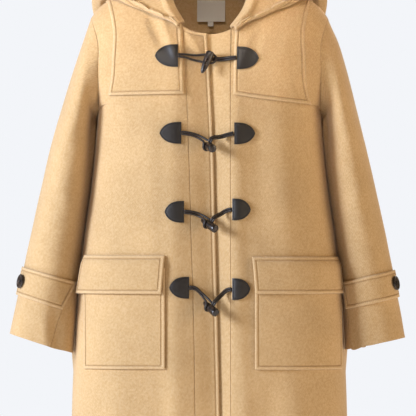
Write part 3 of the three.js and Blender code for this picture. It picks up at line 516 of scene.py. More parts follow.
# the body's half width and half depth, which give the way out of it, and where its folds fade in: they
# are still beside the arms, between its front and its back
bodyForm = {"halfWide": 0.25, "halfDeep": 0.14, "stillTo": 12, "fadeOver": 45}
sleeveForm = {"radius": 0.09, "stillTo": 155, "fadeOver": 60}
hoodForm = {"outward": 0.45, "upward": 0.85, "stillTo": 84, "fadeOver": 40, "seamFade": 14}


# how far the folds stand out at each point, given in millimetres across and along
def foldHeight(folds, across, along):
    height = np.zeros(len(across))
    for startX, startZ, endX, endZ, wide, out in folds:
        length = math.hypot(endX - startX, endZ - startZ)
        wayX, wayZ = (endX - startX) / length, (endZ - startZ) / length
        run = ((across - startX) * wayX + (along - startZ) * wayZ) / length
        off = (across - startX) * wayZ - (along - startZ) * wayX
        fade = ease(np.clip(np.minimum(run + 0.25, 1.25 - run) / 0.5, 0, 1))
        height += out * fade * np.exp(-((off / wide) ** 2))
    return height


# The same small waver for everything at one place, so that pieces laid on each other stay apart.
def waver(points, size, out, seed):
    return np.array([out * noise.noise(Vector(p) / size + Vector((seed, 0, 0))) for p in points])


def bodyDrape(points):
    across, along = points[:, 0] / mm, points[:, 2] / mm
    front = foldHeight(frontFolds, across, along)
    back = foldHeight(backFolds, across, along)
    flat = points * (1, 0, 1)
    small = waver(flat, 0.07, 1.6, 3.1) + waver(flat, 0.03, 0.35, 8.2)
    deep = points[:, 1] / mm
    fade = np.clip((np.abs(deep) - bodyForm["stillTo"]) / bodyForm["fadeOver"], 0, 1)
    behindArm = armGap["swell"] * np.interp(-along, armGap["down"], armGap["fade"])
    behindArm *= np.exp(-(((deep - armGap["behind"]) / armGap["wide"]) ** 2))
    behindArm *= (deep > 0) & (np.abs(across) > armGap["fromMiddle"])
    height = np.where(deep < 0, front, back) + small
    out = flat / bodyForm["halfWide"] ** 2
    out[:, 1] = points[:, 1] / bodyForm["halfDeep"] ** 2
    out[:, 2] = 0
    return unit(out) * ((height * fade + behindArm) * mm)[:, None]


# the middle line of a sleeve: x and y at each height, from its solids
sleeveMiddle = {}
for hand in ("right", "left"):
    spots = np.concatenate([nodePoints(f"sleeve_{part}_{hand}") for part in ("upper", "under")])
    sleeveMiddle[hand] = [np.polyfit(spots[:, 2], spots[:, axis], 2) for axis in (0, 1)]


def sleeveDrape(hand, points):
    middle = np.stack([np.polyval(line, points[:, 2]) for line in sleeveMiddle[hand]], axis=1)
    out = unit(points[:, :2] - middle)
    across, along = points[:, 0] / mm, points[:, 2] / mm
    height = np.zeros(len(points))
    for side, word in ((-1, "front"), (1, "back")):
        share = np.clip(0.5 + side * out[:, 1] * 1.1, 0, 1)
        height += foldHeight(sleeveFolds[f"{hand} {word}"], across, along) * share
    height += waver(np.column_stack([out * sleeveForm["radius"], points[:, 2]]), 0.05, 1.2, 5.7)
    fade = np.clip((-sleeveForm["stillTo"] - along) / sleeveForm["fadeOver"], 0, 1)
    fade *= np.clip(np.abs(out[:, 1]) * 4, 0.25, 1)
    inward = 1 if hand == "right" else -1
    inner = ease(np.clip((out[:, 0] * inward - 0.5) / 0.45, 0, 1))
    lean = np.interp(-along, armGap["down"], armGap["lean"]) * inner
    moved = out * (height * fade * mm)[:, None]
    moved[:, 0] += inward * lean * mm
    return np.column_stack([moved, np.zeros(len(points))])


def hoodDrape(points):
    flat = points * (1, 1, 0)
    height = foldHeight(hoodFolds, points[:, 0] / mm, points[:, 1] / mm) + waver(flat, 0.045, 1.8, 1.3)
    fromNeck = np.linalg.norm(flat, axis=1) / mm
    fade = np.clip((fromNeck - hoodForm["stillTo"]) / hoodForm["fadeOver"], 0, 1)
    fade *= np.clip(np.abs(points[:, 0]) / mm / hoodForm["seamFade"], 0, 1)
    out = unit(flat) * hoodForm["outward"]
    out[:, 2] = hoodForm["upward"]
    return out * (height * fade * mm)[:, None]


# One side of a solid's cloth wall, as its own piece. Face by face, cloth is where the other side is
# one thickness away; a folded piece is told by its wall edges instead, which are one thickness long.
def clothSide(nodeName, name, thick, folded):
    bm = bmesh.new()
    bm.from_mesh(cadNodes[nodeName].data)
    bmesh.ops.remove_doubles(bm, verts=bm.verts, dist=2e-5)
    bm.normal_update()
    if folded:
        wallEdges = {e for e in bm.edges if abs(e.calc_length() - thick) < 4e-6}
        left = {f for f in bm.faces if not wallEdges.intersection(f.edges)}
    else:
        tree = BVHTree.FromBMesh(bm)
        left = set()
        for face in bm.faces:
            hit = tree.ray_cast(face.calc_center_median() - face.normal * 1e-5, -face.normal, 0.05)
            if hit[0] and hit[3] < thick * 1.12:
                left.add(face)
    sides = []
    while left:
        stack = [left.pop()]
        side = []
        while stack:
            face = stack.pop()
            side.append(face)
            for edge in face.edges:
                if not folded and edge.calc_face_angle(4) > math.radians(75):
                    continue
                for other in edge.link_faces:
                    if other in left:
                        left.remove(other)
                        stack.append(other)
        sides.append(side)
    sides.sort(key=lambda side: -sum(face.calc_area() for face in side))
    if folded:  # of the two big sides, the outside is the one that reaches furthest from the neck
        sides = sorted(sides[:2], key=lambda side: -max(v.co.xy.length for face in side for v in face.verts))
    keep = set(sides[0])
    bmesh.ops.delete(bm, geom=[face for face in bm.faces if face not in keep], context="FACES")
    joinIntoSquares(bm)
    mesh = bpy.data.meshes.new(name)
    bm.to_mesh(mesh)
    bm.free()
    piece = newPiece(name, mesh)
    editWhole(piece, (bpy.ops.uv.unwrap, {"method": "ANGLE_BASED", "margin": 0}))
    return piece


# The cloth is a grid of squares, each cut by a slant, all slants the same way. From a corner outwards,
# the next square's slant meets the shared edge at the end that this square's slant doesn't.
def joinIntoSquares(bm):
    def acrossFrom(face, edge):
        return next((other for other in edge.link_faces if other is not face), None)

    first = next(f for f in bm.faces if sum(len(e.link_faces) == 1 for e in f.edges) == 2)
    slant = next(e for e in first.edges if len(e.link_faces) == 2)
    waiting = [(first, slant)]
    used = set()
    slants = []
    while waiting:
        face, slant = waiting.pop()
        partner = acrossFrom(face, slant)
        if face in used or partner is None or partner in used:
            continue
        used.update((face, partner))
        slants.append(slant)
        for half in (face, partner):
            for edge in half.edges:
                beyond = None if edge is slant else acrossFrom(half, edge)
                if beyond is None or beyond in used:
                    continue
                free = next(v for v in edge.verts if v not in slant.verts)
                waiting.append((beyond, next(e for e in beyond.edges if e is not edge and free in e.verts)))
    bmesh.ops.dissolve_edges(bm, edges=slants, use_verts=False)


# Scales the flat pattern to metres and turns it upright. Returns its size, width by length, and area.
def flatPattern(piece):
    mesh = piece.data
    layer = mesh.uv_layers[0]
    layer.name = "cloth"
    uv = np.zeros(len(mesh.loops) * 2)
    layer.data.foreach_get("uv", uv)
    uv = uv.reshape(-1, 2)
    corners = np.zeros(len(mesh.loops), int)
    mesh.loops.foreach_get("vertex_index", corners)
    heights = meshPoints(piece)[corners, 2]
    flat = 0.0
    for polygon in mesh.polygons:
        ring = uv[list(polygon.loop_indices)]
        after = np.roll(ring, -1, axis=0)
        flat += abs((ring[:, 0] * after[:, 1] - ring[:, 1] * after[:, 0]).sum()) / 2
    area = sum(polygon.area for polygon in mesh.polygons)
    uv *= math.sqrt(area / flat)
    slope = np.linalg.lstsq(np.column_stack([uv, np.ones(len(uv))]), heights, rcond=None)[0][:2]
    a, b = slope / np.linalg.norm(slope)
    uv = np.stack([uv[:, 0] * b - uv[:, 1] * a, uv[:, 0] * a + uv[:, 1] * b], axis=1)
    uv -= uv.min(axis=0)
    layer.data.foreach_set("uv", uv.astype(np.float32).ravel())
    width, length = uv.max(axis=0)
    return float(width), float(length), float(area)


# Subdivision draws a shape in from its cage. This sets the cage so that the cloth runs through the points.
def runThroughPoints(piece):
    bm = bmesh.new()
    bm.from_mesh(piece.data)
    limit = np.zeros((len(bm.verts), len(bm.verts)))
    for v in bm.verts:
        faces = v.link_faces
        if v.is_boundary and len(faces) > 1:
            limit[v.index, v.index] = 4 / 6
            for edge in v.link_edges:
                if edge.is_boundary:
                    limit[v.index, edge.other_vert(v).index] = 1 / 6
        elif not v.is_boundary and all(len(face.verts) == 4 for face in faces):
            n = len(faces)
            limit[v.index, v.index] = n / (n + 5)
            beside = [edge.other_vert(v) for edge in v.link_edges]
            for other in beside:
                limit[v.index, other.index] += 4 / (n * (n + 5))
            for face in faces:
                far = next(w for w in face.verts if w is not v and w not in beside)
                limit[v.index, far.index] += 1 / (n * (n + 5))
        else:
            limit[v.index, v.index] = 1
    bm.free()
    setPoints(piece, np.linalg.solve(limit, meshPoints(piece)))


# The outline of a panel as four named sides, each a list of vertex numbers in order.
def outlineSides(piece, folded):
    bm = bmesh.new()
    bm.from_mesh(piece.data)
    start = next(v for v in bm.verts if v.is_boundary and len(v.link_faces) == 1)
    loop = [start]
    before = None
    while True:
        here = loop[-1]
        onward = [e.other_vert(here) for e in here.link_edges if e.is_boundary]
        after = next(v for v in onward if v is not before)
        if after is start:
            break
        before = here
        loop.append(after)
    corners = [i for i, v in enumerate(loop) if len(v.link_faces) == 1] + [len(loop)]
    numbers = [v.index for v in loop] + [start.index]
    runs = [numbers[a:b + 1] for a, b in zip(corners, corners[1:])]
    bm.free()
    points = meshPoints(piece)
    middle = [points[run].mean(axis=0) for run in runs]
    order = list(range(len(runs)))
    named = {}
    if folded:
        lengths = [np.linalg.norm(np.diff(points[run], axis=0), axis=1).sum() for run in runs]
        named["centre"] = min(order, key=lambda k: np.abs(points[runs[k], 0]).max())
        order.remove(named["centre"])
        named["front"] = min(order, key=lambda k: lengths[k])
        order.remove(named["front"])
        order.sort(key=lambda k: np.linalg.norm(points[runs[k], :2], axis=1).mean())
        named["neck"], named["rim"] = order
    else:
        order.sort(key=lambda k: -middle[k][2])
        named["top"], named["bottom"] = order[0], order[-1]
        rest = sorted(order[1:-1], key=lambda k: abs(middle[k][0]))
        named["inner"], named["outer"] = rest[0], rest[-1]
    return {name: runs[k] for name, k in named.items()}


def kdTreeOf(points):
    tree = KDTree(len(points))
    for i, point in enumerate(points):
        tree.insert(point, i)
    tree.balance()
    return tree


# Distance in millimetres from every point to the nearest sewn edge.
def distanceTo(points, lines):
    tree = kdTreeOf(np.concatenate([smoothLine(line, 0.6 * mm) for line in lines]))
    return np.array([tree.find(p)[2] / mm for p in points])


# every cut edge of a piece, as short lines
def rimLines(piece):
    points = meshPoints(piece)
    uses = {}
    for polygon in piece.data.polygons:
        for key in polygon.edge_keys:
            uses[key] = uses.get(key, 0) + 1
    return [points[list(key)] for key, count in uses.items() if count == 1]


# one stitch: a short thread that dips at both ends, along x with z up
stitchSize = {"length": 3.1, "radius": 0.34, "pitch": 3.9, "flat": 1.8, "dip": 0.45}


def modelStitch():
    stitch = addShape(
        bpy.ops.mesh.primitive_cylinder_add, vertices=6, radius=stitchSize["radius"] * mm,
        depth=stitchSize["length"] * mm, rotation=(0, math.pi / 2, 0),
    )
    flatHalf = stitchSize["flat"] / 2 * mm
    editWhole(stitch, *(
        (bpy.ops.mesh.bisect, {"plane_co": (x, 0, 0), "plane_no": (1, 0, 0)}) for x in (-flatHalf, flatHalf)
    ))
    points = meshPoints(stitch)
    ends = np.abs(points[:, 0]) > 1.2 * mm
    points[ends, 1:] *= 0.5
    points[ends, 2] -= stitchSize["dip"] * mm
    faces = [list(polygon.vertices) for polygon in stitch.data.polygons]
    removePiece(stitch)
    return points, faces


stitchPoints, stitchFaces = modelStitch()


# Stitches along a line on the cloth. Each line is points with the way out of the cloth.
def sewLines(name, lines):
    points, faces = [], []
    for line, normals in lines:
        at = runAlong(line)
        count = int(at[-1] / (stitchSize["pitch"] * mm))
        for k in range(count):
            s = (k + 0.5) * at[-1] / count
            behind, spot, ahead = (
                np.array([np.interp(s + step, at, line[:, axis]) for axis in range(3)]) for step in (-mm, 0, mm)
            )
            along = unit(ahead - behind)
            side = unit(np.cross([np.interp(s, at, normals[:, axis]) for axis in range(3)], along))
            up = np.cross(along, side)
            first = len(points) * len(stitchPoints)
            points.append(spot + stitchPoints @ np.array([along, side, up]))
            faces += [[first + v for v in face] for face in stitchFaces]
    mesh = bpy.data.meshes.new(name)
    mesh.from_pydata(np.concatenate(points).tolist(), [], faces)
    piece = newPiece(name, mesh)
    shadeSmooth(piece, 60)
    return piece


# The stitch lines of a panel: its sewn sides moved in over the cloth, and cut where they cross.
def stitchLines(piece, sides, stitched):
    points = meshPoints(piece)
    surface = surfaceOf(piece)
    edges = {side: smoothLine(points[sides[side]], 1.5 * mm) for side in stitched}
    lines = []
    for side, edge in edges.items():
        others = [edges[other] for other in stitched if other != side]
        crossed = kdTreeOf(np.concatenate(others)) if others else None
        kept, normals = [], []
        for k in range(len(edge)):
            along = edge[min(k + 1, len(edge) - 1)] - edge[max(k - 1, 0)]
            inward = unit(np.cross(surface.find_nearest(Vector(edge[k]))[1], along))
            if surface.find_nearest(Vector(edge[k] + inward * 2 * mm))[3] > 1.2 * mm:
                inward = -inward
            spot, normal = surface.find_nearest(Vector(edge[k] + inward * wool["stitchInMm"] * mm))[:2]
            if crossed and crossed.find(spot)[2] < (wool["stitchInMm"] - 0.3) * mm:
                continue
            kept.append(np.array(spot) + np.array(normal) * 0.12 * mm)
            normals.append(np.array(normal))
        if len(kept) > 4:
            lines.append((np.array(kept), np.array(normals)))
    return lines


# a sewn edge swells between its fold and its stitches, dips at the stitches and thins at the fold
weltShape = {"swell": 0.45, "dip": 0.45, "dipWide": 1.3, "thin": 0.35, "thinWide": 0.9}


def weltHeight(distances):
    inner = wool["stitchInMm"]
    swell = np.where(distances < inner, np.sin(np.pi * np.clip(distances / inner, 0, 1)) ** 0.8, 0)
    dip = np.exp(-(((distances - inner) / weltShape["dipWide"]) ** 2))
    thin = np.exp(-((distances / weltShape["thinWide"]) ** 2))
    return weltShape["swell"] * swell - weltShape["dip"] * dip - weltShape["thin"] * thin


# what most pieces of cloth are, what a big hanging panel is, and how each kind of piece differs
anyCloth = {
    "held": "laid", "levels": 3, "stitched": [], "seams": False, "welt": 1, "folded": False, "ribbon": False,
    "thick": 3,
}
panel = {"held": "hung", "seams": True}
allRound = ["top", "bottom", "inner", "outer"]
clothPlan = {
    "front": panel, "back": panel, "sleeve_upper": panel, "sleeve_under": panel, "front_band_left": panel,
    "front_band_right": {**panel, "stitched": ["inner", "top"]},
    "sleeve_strap": {"levels": 4, "stitched": allRound},
    "yoke": {"stitched": allRound[1:]},
    "pocket_flap": {"levels": 4, "stitched": allRound},
    "pocket": {"levels": 4, "stitched": allRound[1:]},
    "hood": {"stitched": ["rim"], "welt": 0, "held": "folded", "folded": True},
    "neck_label": {"ribbon": True, "thick": 1},
    "size_tab": {"ribbon": True, "thick": 1, "levels": 2},
}
clothNodes = [name for name in sorted(cadNodes) if any(name.startswith(key) for key in clothPlan)]
flatSizes = {}


def drapeOf(nodeName, points):
    if nodeName.startswith("sleeve"):
        return sleeveDrape(nodeName.split("_")[-1], points)
    if nodeName.startswith("hood"):
        return hoodDrape(points)
    return bodyDrape(points)


def makeCloth(nodeName):
    plan = {**anyCloth, **clothPlan[max((key for key in clothPlan if nodeName.startswith(key)), key=len)]}
    ribbon, folded, stitched, thick = plan["ribbon"], plan["folded"], plan["stitched"], plan["thick"] * mm
    piece = clothSide(nodeName, f"cloth_{nodeName}", thick, folded)
    width, length, area = flatPattern(piece)
    flatSizes[nodeName] = (round(width, 4), round(length, 4), round(area, 5))
    runThroughPoints(piece)
    levels = plan["levels"]
    applyModifier(piece, "SUBSURF", levels=levels, render_levels=levels, boundary_smooth="PRESERVE_CORNERS")
    points = meshPoints(piece)
    normals = meshNormals(piece)
    distances = np.full(len(points), 100.0)
    if stitched:
        sides = outlineSides(piece, folded)
        distances = distanceTo(points, [points[sides[side]] for side in stitched])
        points = points + normals * (weltHeight(distances) * plan["welt"] * mm)[:, None]
    setAttribute(piece, "edgeMm", distances)
    setAttribute(piece, "seamMm", distanceTo(points, rimLines(piece)) if plan["seams"] else distances + 20)
    setPoints(piece, points + drapeOf(nodeName, points))
    if stitched:
        threads = sewLines(f"stitches_{nodeName}", stitchLines(piece, sides, stitched))
        finishPiece(threads, threadMaterial, "wool")
    solidify(piece, thick)
    if ribbon:
        shadeSmooth(piece, 60)
    else:
        roundEdges(piece, 0.9, 60, 60, segments=2)
    finishPiece(piece, ribbonMaterial if ribbon else woolMaterial, "label" if ribbon else "wool", nodeName)
    print("cloth", nodeName, len(piece.data.polygons), "faces, flat", flatSizes[nodeName])
    return piece


clothPieces = {nodeName: makeCloth(nodeName) for nodeName in clothNodes}
print("cloth done:", sum(len(p.data.polygons) for p in clothPieces.values()), "faces")


# leather tabs: the cord side is straight, and the other sides curve in to a point
tabShape = {"across": 28, "along": 26, "tipHalf": 0.4, "thick": 2.0, "crown": 0.6, "furrow": 0.3}


# a flat unit grid, which each tab shapes for itself
def modelTab():
    return addShape(
        bpy.ops.mesh.primitive_grid_add, x_subdivisions=tabShape["along"], y_subdivisions=tabShape["across"],
        size=1, location=(0.5, 0, 0),
    )


def copyOf(pattern, name):
    piece = pattern.copy()
    piece.data = pattern.data.copy()
    piece.name = name
    scene.collection.objects.link(piece)
    return piece


# turns a piece whose faces point backwards
def faceForward(piece):
    if sum(polygon.normal.y for polygon in piece.data.polygons) > 0:
        editWhole(piece, (bpy.ops.mesh.flip_normals, {}))


# the terms of a gently curved surface, y from x and z
def curveTerms(x, z):
    return np.column_stack([np.ones(len(x)), x, z, x * x, x * z, z * z])


# the solid's outer face as such a surface: a first fit tells its outer corners from its inner ones
def outerFace(nodeName, origin):
    spots = nodePoints(nodeName) - origin
    terms = curveTerms(spots[:, 0], spots[:, 2])
    first = np.linalg.lstsq(terms, spots[:, 1], rcond=None)[0]
    outer = spots[:, 1] < terms @ first
    return np.linalg.lstsq(terms[outer], spots[outer, 1], rcond=None)[0]


# where a stitch line runs over a piece that faces forward, and the way out of it there
def overPiece(piece, line):
    surface = surfaceOf(piece)
    hits = [surface.ray_cast(Vector((p[0], -1, p[2])), Vector((0, 1, 0))) for p in line]
    hits = [hit for hit in hits if hit[0]]
    normals = np.array([hit[1] for hit in hits])
    normals[normals[:, 1] > 0] *= -1
    return np.array([hit[0] for hit in hits]) + normals * 0.1 * mm, normals


def makeTab(nodeName, pattern):
    low, high = (np.array(corner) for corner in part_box(nodeName))
    way = -1 if "right" in nodeName else 1
    middle = (low[2] + high[2]) / 2
    piece = copyOf(pattern, f"leather_{nodeName}")
    grid = meshPoints(piece)
    tip = tabShape["tipHalf"] * mm
    share = 1 - (1 - grid[:, 0]) ** 1.8
    reach = tip + ((high[2] - low[2]) / 2 - tip) * np.maximum(1 - share ** 3, 0) ** 0.68
    x = (high[0] if way < 0 else low[0]) + way * (high[0] - low[0]) * share
    z = middle + 2 * grid[:, 1] * reach
    origin = np.array([low[0], 0, middle])
    y = curveTerms(x - origin[0], z - origin[2]) @ outerFace(nodeName, origin)
    points = np.stack([x, y, z], axis=1)
    rim = np.flatnonzero((np.abs(grid[:, 1]) > 0.4999) | (np.abs(grid[:, 0] - 0.5) > 0.4999))
    rim = rim[np.argsort(np.arctan2(grid[rim, 1], grid[rim, 0] - 0.5))]
    outline = points[np.append(rim, rim[0])]
    distances = distanceTo(points, [outline])
    setAttribute(piece, "edgeMm", distances)
    swell = 1 - (1 - np.clip(distances / 9, 0, 1)) ** 2
    furrow = np.exp(-(((distances - leather["stitchInMm"]) / 0.7) ** 2))
    points[:, 1] -= (tabShape["crown"] * swell - tabShape["furrow"] * furrow) * mm
    setPoints(piece, points + bodyDrape(points))
    faceForward(piece)
    centre = outline.mean(axis=0)
    sewn = []
    for before, spot, after in zip(outline[:-2], outline[1:-1], outline[2:]):
        along = unit(after - before)
        inward = np.array([along[2], 0, -along[0]])
        inward *= np.sign(inward @ (centre - spot))
        sewn.append(spot + inward * leather["stitchInMm"] * mm)
    rimTree = kdTreeOf(outline)
    sewn = np.array([p for p in sewn if rimTree.find(p)[2] > 0.9 * leather["stitchInMm"] * mm])
    threads = sewLines(f"stitches_{nodeName}", [overPiece(piece, smoothLine(sewn, 1 * mm))])
    finishPiece(threads, blackThread, "leather")
    solidify(piece, tabShape["thick"] * mm)
    roundEdges(piece, 0.6, 60, 50, segments=2)
    finishPiece(piece, leatherMaterial, "leather", nodeName)


tabPattern = modelTab()
for nodeName in sorted(cadNodes):
    if nodeName.startswith("tab_"):
        makeTab(nodeName, tabPattern)
removePiece(tabPattern)
print("leather tabs done")


# A shape turned on its axis: one ring, drawn up ring by ring in edit mode. Each ring is how wide, how far.
def turnShape(name, rings, sides):
    wide, far = rings[0]
    piece = addShape(
        bpy.ops.mesh.primitive_circle_add, vertices=sides, radius=wide * mm, fill_type="NGON",
        location=(0, 0, far * mm),
    )
    piece.name = name
    bpy.ops.object.mode_set(mode="EDIT")
    bpy.ops.mesh.select_all(action="SELECT")
    for nextWide, nextFar in rings[1:]:
        bpy.ops.mesh.extrude_region_move(TRANSFORM_OT_translate={"value": (0, 0, (nextFar - far) * mm)})
        grow = nextWide / wide
        bpy.ops.transform.resize(value=(grow, grow, 1), center_override=(0, 0, nextFar * mm))
        wide, far = nextWide, nextFar
    bpy.ops.object.mode_set(mode="OBJECT")
    editWhole(piece, (bpy.ops.mesh.normals_make_consistent, {"inside": False}))
    return piece


def cutAway(piece, cutter):
    applyModifier(piece, "BOOLEAN", operation="DIFFERENCE", solver="EXACT", object=cutter)
    removePiece(cutter)


# a drill along y or z, from one depth to another, round or drawn out to an oval along z
def makeDrill(radius, centre, start, end, axis="y", longer=1.0):
    middle = Vector(centre) * mm
    middle["xyz".index(axis)] = (start + end) / 2 * mm
    drill = addShape(
        bpy.ops.mesh.primitive_cylinder_add, vertices=24, radius=radius * mm, depth=(end - start) * mm,
        location=middle, rotation=(math.pi / 2, 0, 0) if axis == "y" else (0, 0, 0),
    )
    editWhole(drill, (bpy.ops.transform.resize, {"value": (1, 1, longer), "center_override": middle}))
    return drill


# Horn toggles: a turned spike with a flat end, a sunk oval on one side, and two holes through it.
toggleShape = {
    "long": 43, "radius": 7.6, "sunkRadius": 3.0, "sunkLonger": 2.5, "sunkDepth": 0.9,
    "holeRadius": 1.75, "holesAt": (0.385, 0.585), "sides": 40,
}
# from tip to flat end: how wide, as a share of the radius, and how far, as a share of the length
toggleRings = [
    (0.05, 0.0), (0.2, 0.01), (0.33, 0.035), (0.46, 0.085), (0.57, 0.145), (0.67, 0.22),
    (0.75, 0.31), (0.82, 0.42), (0.9, 0.54), (0.96, 0.66), (1.0, 0.77), (1.0, 0.88),
    (0.98, 0.95), (0.92, 0.985), (0.82, 1.0), (0.3, 1.003),
]


def modelToggle():
    long, radius = toggleShape["long"], toggleShape["radius"]
    rings = [(wide * radius, far * long) for wide, far in toggleRings]
    piece = turnShape("toggle", rings, toggleShape["sides"])
    middle, outside = sum(toggleShape["holesAt"]) / 2 * long, radius + 4
    cutAway(piece, makeDrill(
        toggleShape["sunkRadius"], (0, 0, middle), -outside, toggleShape["sunkDepth"] - radius * 0.86,
        longer=toggleShape["sunkLonger"],
    ))
    for far in toggleShape["holesAt"]:
        cutAway(piece, makeDrill(toggleShape["holeRadius"], (0, 0, far * long), -outside, outside))
    roundEdges(piece, 0.3, 45, 40)
    return piece


# the line through a turned solid: its tip, and the way from there to its wide end
def turnedLine(nodeName):
    spots = nodePoints(nodeName)
    centre = (spots.max(axis=0) + spots.min(axis=0)) / 2
    for _ in range(4):
        way = np.linalg.svd(spots - centre)[2][0]
        run = (spots - centre) @ way
        ends = [spots[run < run.min() + 3 * mm], spots[run > run.max() - 3 * mm]]
        centre = (ends[0].mean(axis=0) + ends[1].mean(axis=0)) / 2
    spread = [np.linalg.norm(end - end.mean(axis=0), axis=1).max() for end in ends]
    tip, far = centre + way * run.min(), centre + way * run.max()
    return (tip, far) if spread[0] < spread[1] else (far, tip)


# turns and moves a piece in its mesh, so that its own z runs along one way and its -y faces another
def placeTurned(piece, start, along, facing):
    along = unit(along)
    back = -unit(facing - along * (facing @ along))
    setPoints(piece, meshPoints(piece) @ np.array([np.cross(back, along), back, along]) + start)


def makeToggle(nodeName, pattern):
    tip, end = turnedLine(nodeName)
    facing = np.array((0, -1.0, 0) if nodeName.endswith("1") else (0, 0, 1.0))
    middle = (tip + end) / 2
    moved = bodyDrape(middle[None, :])[0]
    piece = copyOf(pattern, f"horn_{nodeName}")
    placeTurned(piece, tip + moved, end - tip, facing)
    finishPiece(piece, hornMaterial, "horn", nodeName)
    return middle, moved


togglePattern = modelToggle()
toggleMoves = {nodeName[-1]: makeToggle(nodeName, togglePattern) for nodeName in sorted(cadNodes)
               if nodeName.startswith("toggle_") and "cord" not in nodeName}
removePiece(togglePattern)
print("horn toggles done")


# Cords: four strands laid round each other, waxed. Within 18 mm of its toggle a cord moves with it, and
# from 45 mm with the cloth.
cordShape = {
    "radius": 2.1, "sides": 16, "lay": 9.0, "strands": 4, "hollow": 0.16, "step": 0.6, "clear": 0.15,
    "withToggle": 18, "withCloth": 45,
}


# the middle line of a cord's solid: from one flat end, ring by ring
def cordLine(nodeName):
    bm = bmesh.new()
    bm.from_mesh(cadNodes[nodeName].data)
    bmesh.ops.remove_doubles(bm, verts=bm.verts, dist=1e-5)
    bm.normal_update()
    ring = None
    for face in bm.faces:
        flat, stack = {face}, [face]
        while stack:
            for edge in stack.pop().edges:
                for other in edge.link_faces:
                    if other not in flat and other.normal.angle(face.normal) < 0.01:
                        flat.add(other)
                        stack.append(other)
        corners = {v for part in flat for v in part.verts}
        centre = sum((v.co for v in corners), Vector()) / len(corners)
        if len(corners) == 8 and len(flat) == 6 and max((v.co - centre).length for v in corners) < 2.2 * mm:
            ring = corners
            break
    line, seen = [], set()
    while ring:
        line.append(np.mean([v.co for v in ring], axis=0))
        seen |= ring
        ring = {edge.other_vert(v) for v in ring for edge in v.link_edges} - seen
    bm.free()
    return np.array(line)


def layCord(name, line):
    radius = cordShape["radius"] * mm
    turns = np.arange(cordShape["sides"]) * 2 * math.pi / cordShape["sides"]
    side = np.cross(line[1] - line[0], (0.3, 1, 0.2))
    rings = []
    for k, (spot, far) in enumerate(zip(line, runAlong(line))):
        along = unit(line[min(k + 1, len(line) - 1)] - line[max(k - 1, 0)])
        side = unit(side - along * (side @ along))
        other = np.cross(along, side)
        twist = turns - far / mm / cordShape["lay"] * 2 * math.pi
        swell = 1 - cordShape["hollow"] * (1 - np.abs(np.cos(twist * cordShape["strands"] / 2)))
        shrink = (0.55, 0.85, 1)[min(k, len(line) - 1 - k, 2)]  # the ends are rounded off
        out = np.cos(turns)[:, None] * side + np.sin(turns)[:, None] * other
        rings.append(spot + out * (radius * swell * shrink)[:, None])
    count = cordShape["sides"]
    faces = [
        [r * count + i, r * count + (i + 1) % count, (r + 1) * count + (i + 1) % count, (r + 1) * count + i]
        for r in range(len(rings) - 1) for i in range(count)
    ]
    faces += [list(range(count))[::-1], [(len(rings) - 1) * count + i for i in range(count)]]
    mesh = bpy.data.meshes.new(name)
    mesh.from_pydata(np.concatenate(rings).tolist(), [], faces)
    piece = newPiece(name, mesh)
    shadeSmooth(piece, 75)
    return piece


# The two halves of a loop lie side by side up to the toggle.
def closeLoop(line, near):
    other = line[::-1]
    close = (line + other) / 2 + unit(line - other) * cordShape["radius"] * mm
    return line * near + close * (1 - near)


# lifts a cord where it would sink into the cloth below it
def liftOffCloth(line):
    lifted = line.copy()
    for k, spot in enumerate(line):
        hit = clothBelow.ray_cast(Vector((spot[0], -1, spot[2])), Vector((0, 1, 0)))[0]
        if hit:
            lifted[k, 1] = min(spot[1], hit.y - (cordShape["radius"] + cordShape["clear"]) * mm)
    return lifted


def makeCord(nodeName):
    middle, moved = toggleMoves[nodeName.rstrip("ab")[-1]]
    line = smoothLine(cordLine(nodeName), 3 * mm)
    off = np.linalg.norm(line - middle, axis=1) / mm
    fadeOver = cordShape["withCloth"] - cordShape["withToggle"]
    near = ease(np.clip((cordShape["withCloth"] - off) / fadeOver, 0, 1))[:, None]
    line = line + moved * near + bodyDrape(line) * (1 - near)
    if nodeName.startswith("loop") and not nodeName.endswith("1"):
        line = closeLoop(line, near)
    line = smoothLine(liftOffCloth(line), cordShape["step"] * mm)
    piece = layCord(f"laid_{nodeName}", line)
    finishPiece(piece, cordMaterial, "cord", nodeName)
    return round(float(runAlong(line)[-1]), 4)


clothBelow = surfaceOf(*(
    piece for nodeName, piece in clothPieces.items() if nodeName.startswith(("front", "yoke"))
))
cordLengths = {nodeName: makeCord(nodeName) for nodeName in sorted(cadNodes)
               if nodeName.startswith(("loop_", "toggle_cord_"))}
print("cords done, metres:", cordLengths)


# Sleeve buttons: horn, turned with a raised rim round a sunk middle, four holes sewn crosswise.
buttonShape = {"radius": 13, "thick": 4.2, "rim": 2.6, "well": 1.2, "holeRadius": 1.15, "holeOut": 2.5}


def modelButton():
    radius, thick, rim, well = (buttonShape[key] for key in ("radius", "thick", "rim", "well"))
    piece = turnShape("button", [
        (radius * 0.4, 0), (radius * 0.82, 0), (radius * 0.95, thick * 0.22), (radius, thick * 0.55),
        (radius * 0.985, thick * 0.8), (radius - rim * 0.3, thick * 0.97), (radius - rim * 0.6, thick),
        (radius - rim * 0.9, thick * 0.93), (radius - rim * 1.3, thick - well * 0.75),
        (radius - rim * 1.7, thick - well), (radius * 0.25, thick - well * 1.05),
    ], 48)
    for x in (-1, 1):
        for y in (-1, 1):
            spot = (x * buttonShape["holeOut"], y * buttonShape["holeOut"], 0)
            cutAway(piece, makeDrill(buttonShape["holeRadius"], spot, -2, thick + 2, axis="z"))
    roundEdges(piece, 0.2, 50, 40)
    return piece


# the thread on a button: strands laid crosswise over the well, from hole to hole, two side by side
threadShape = {"radius": 0.45, "aside": 0.42, "rise": 0.55, "drop": 2.6, "dropFrom": 0.7, "over": 0.25}


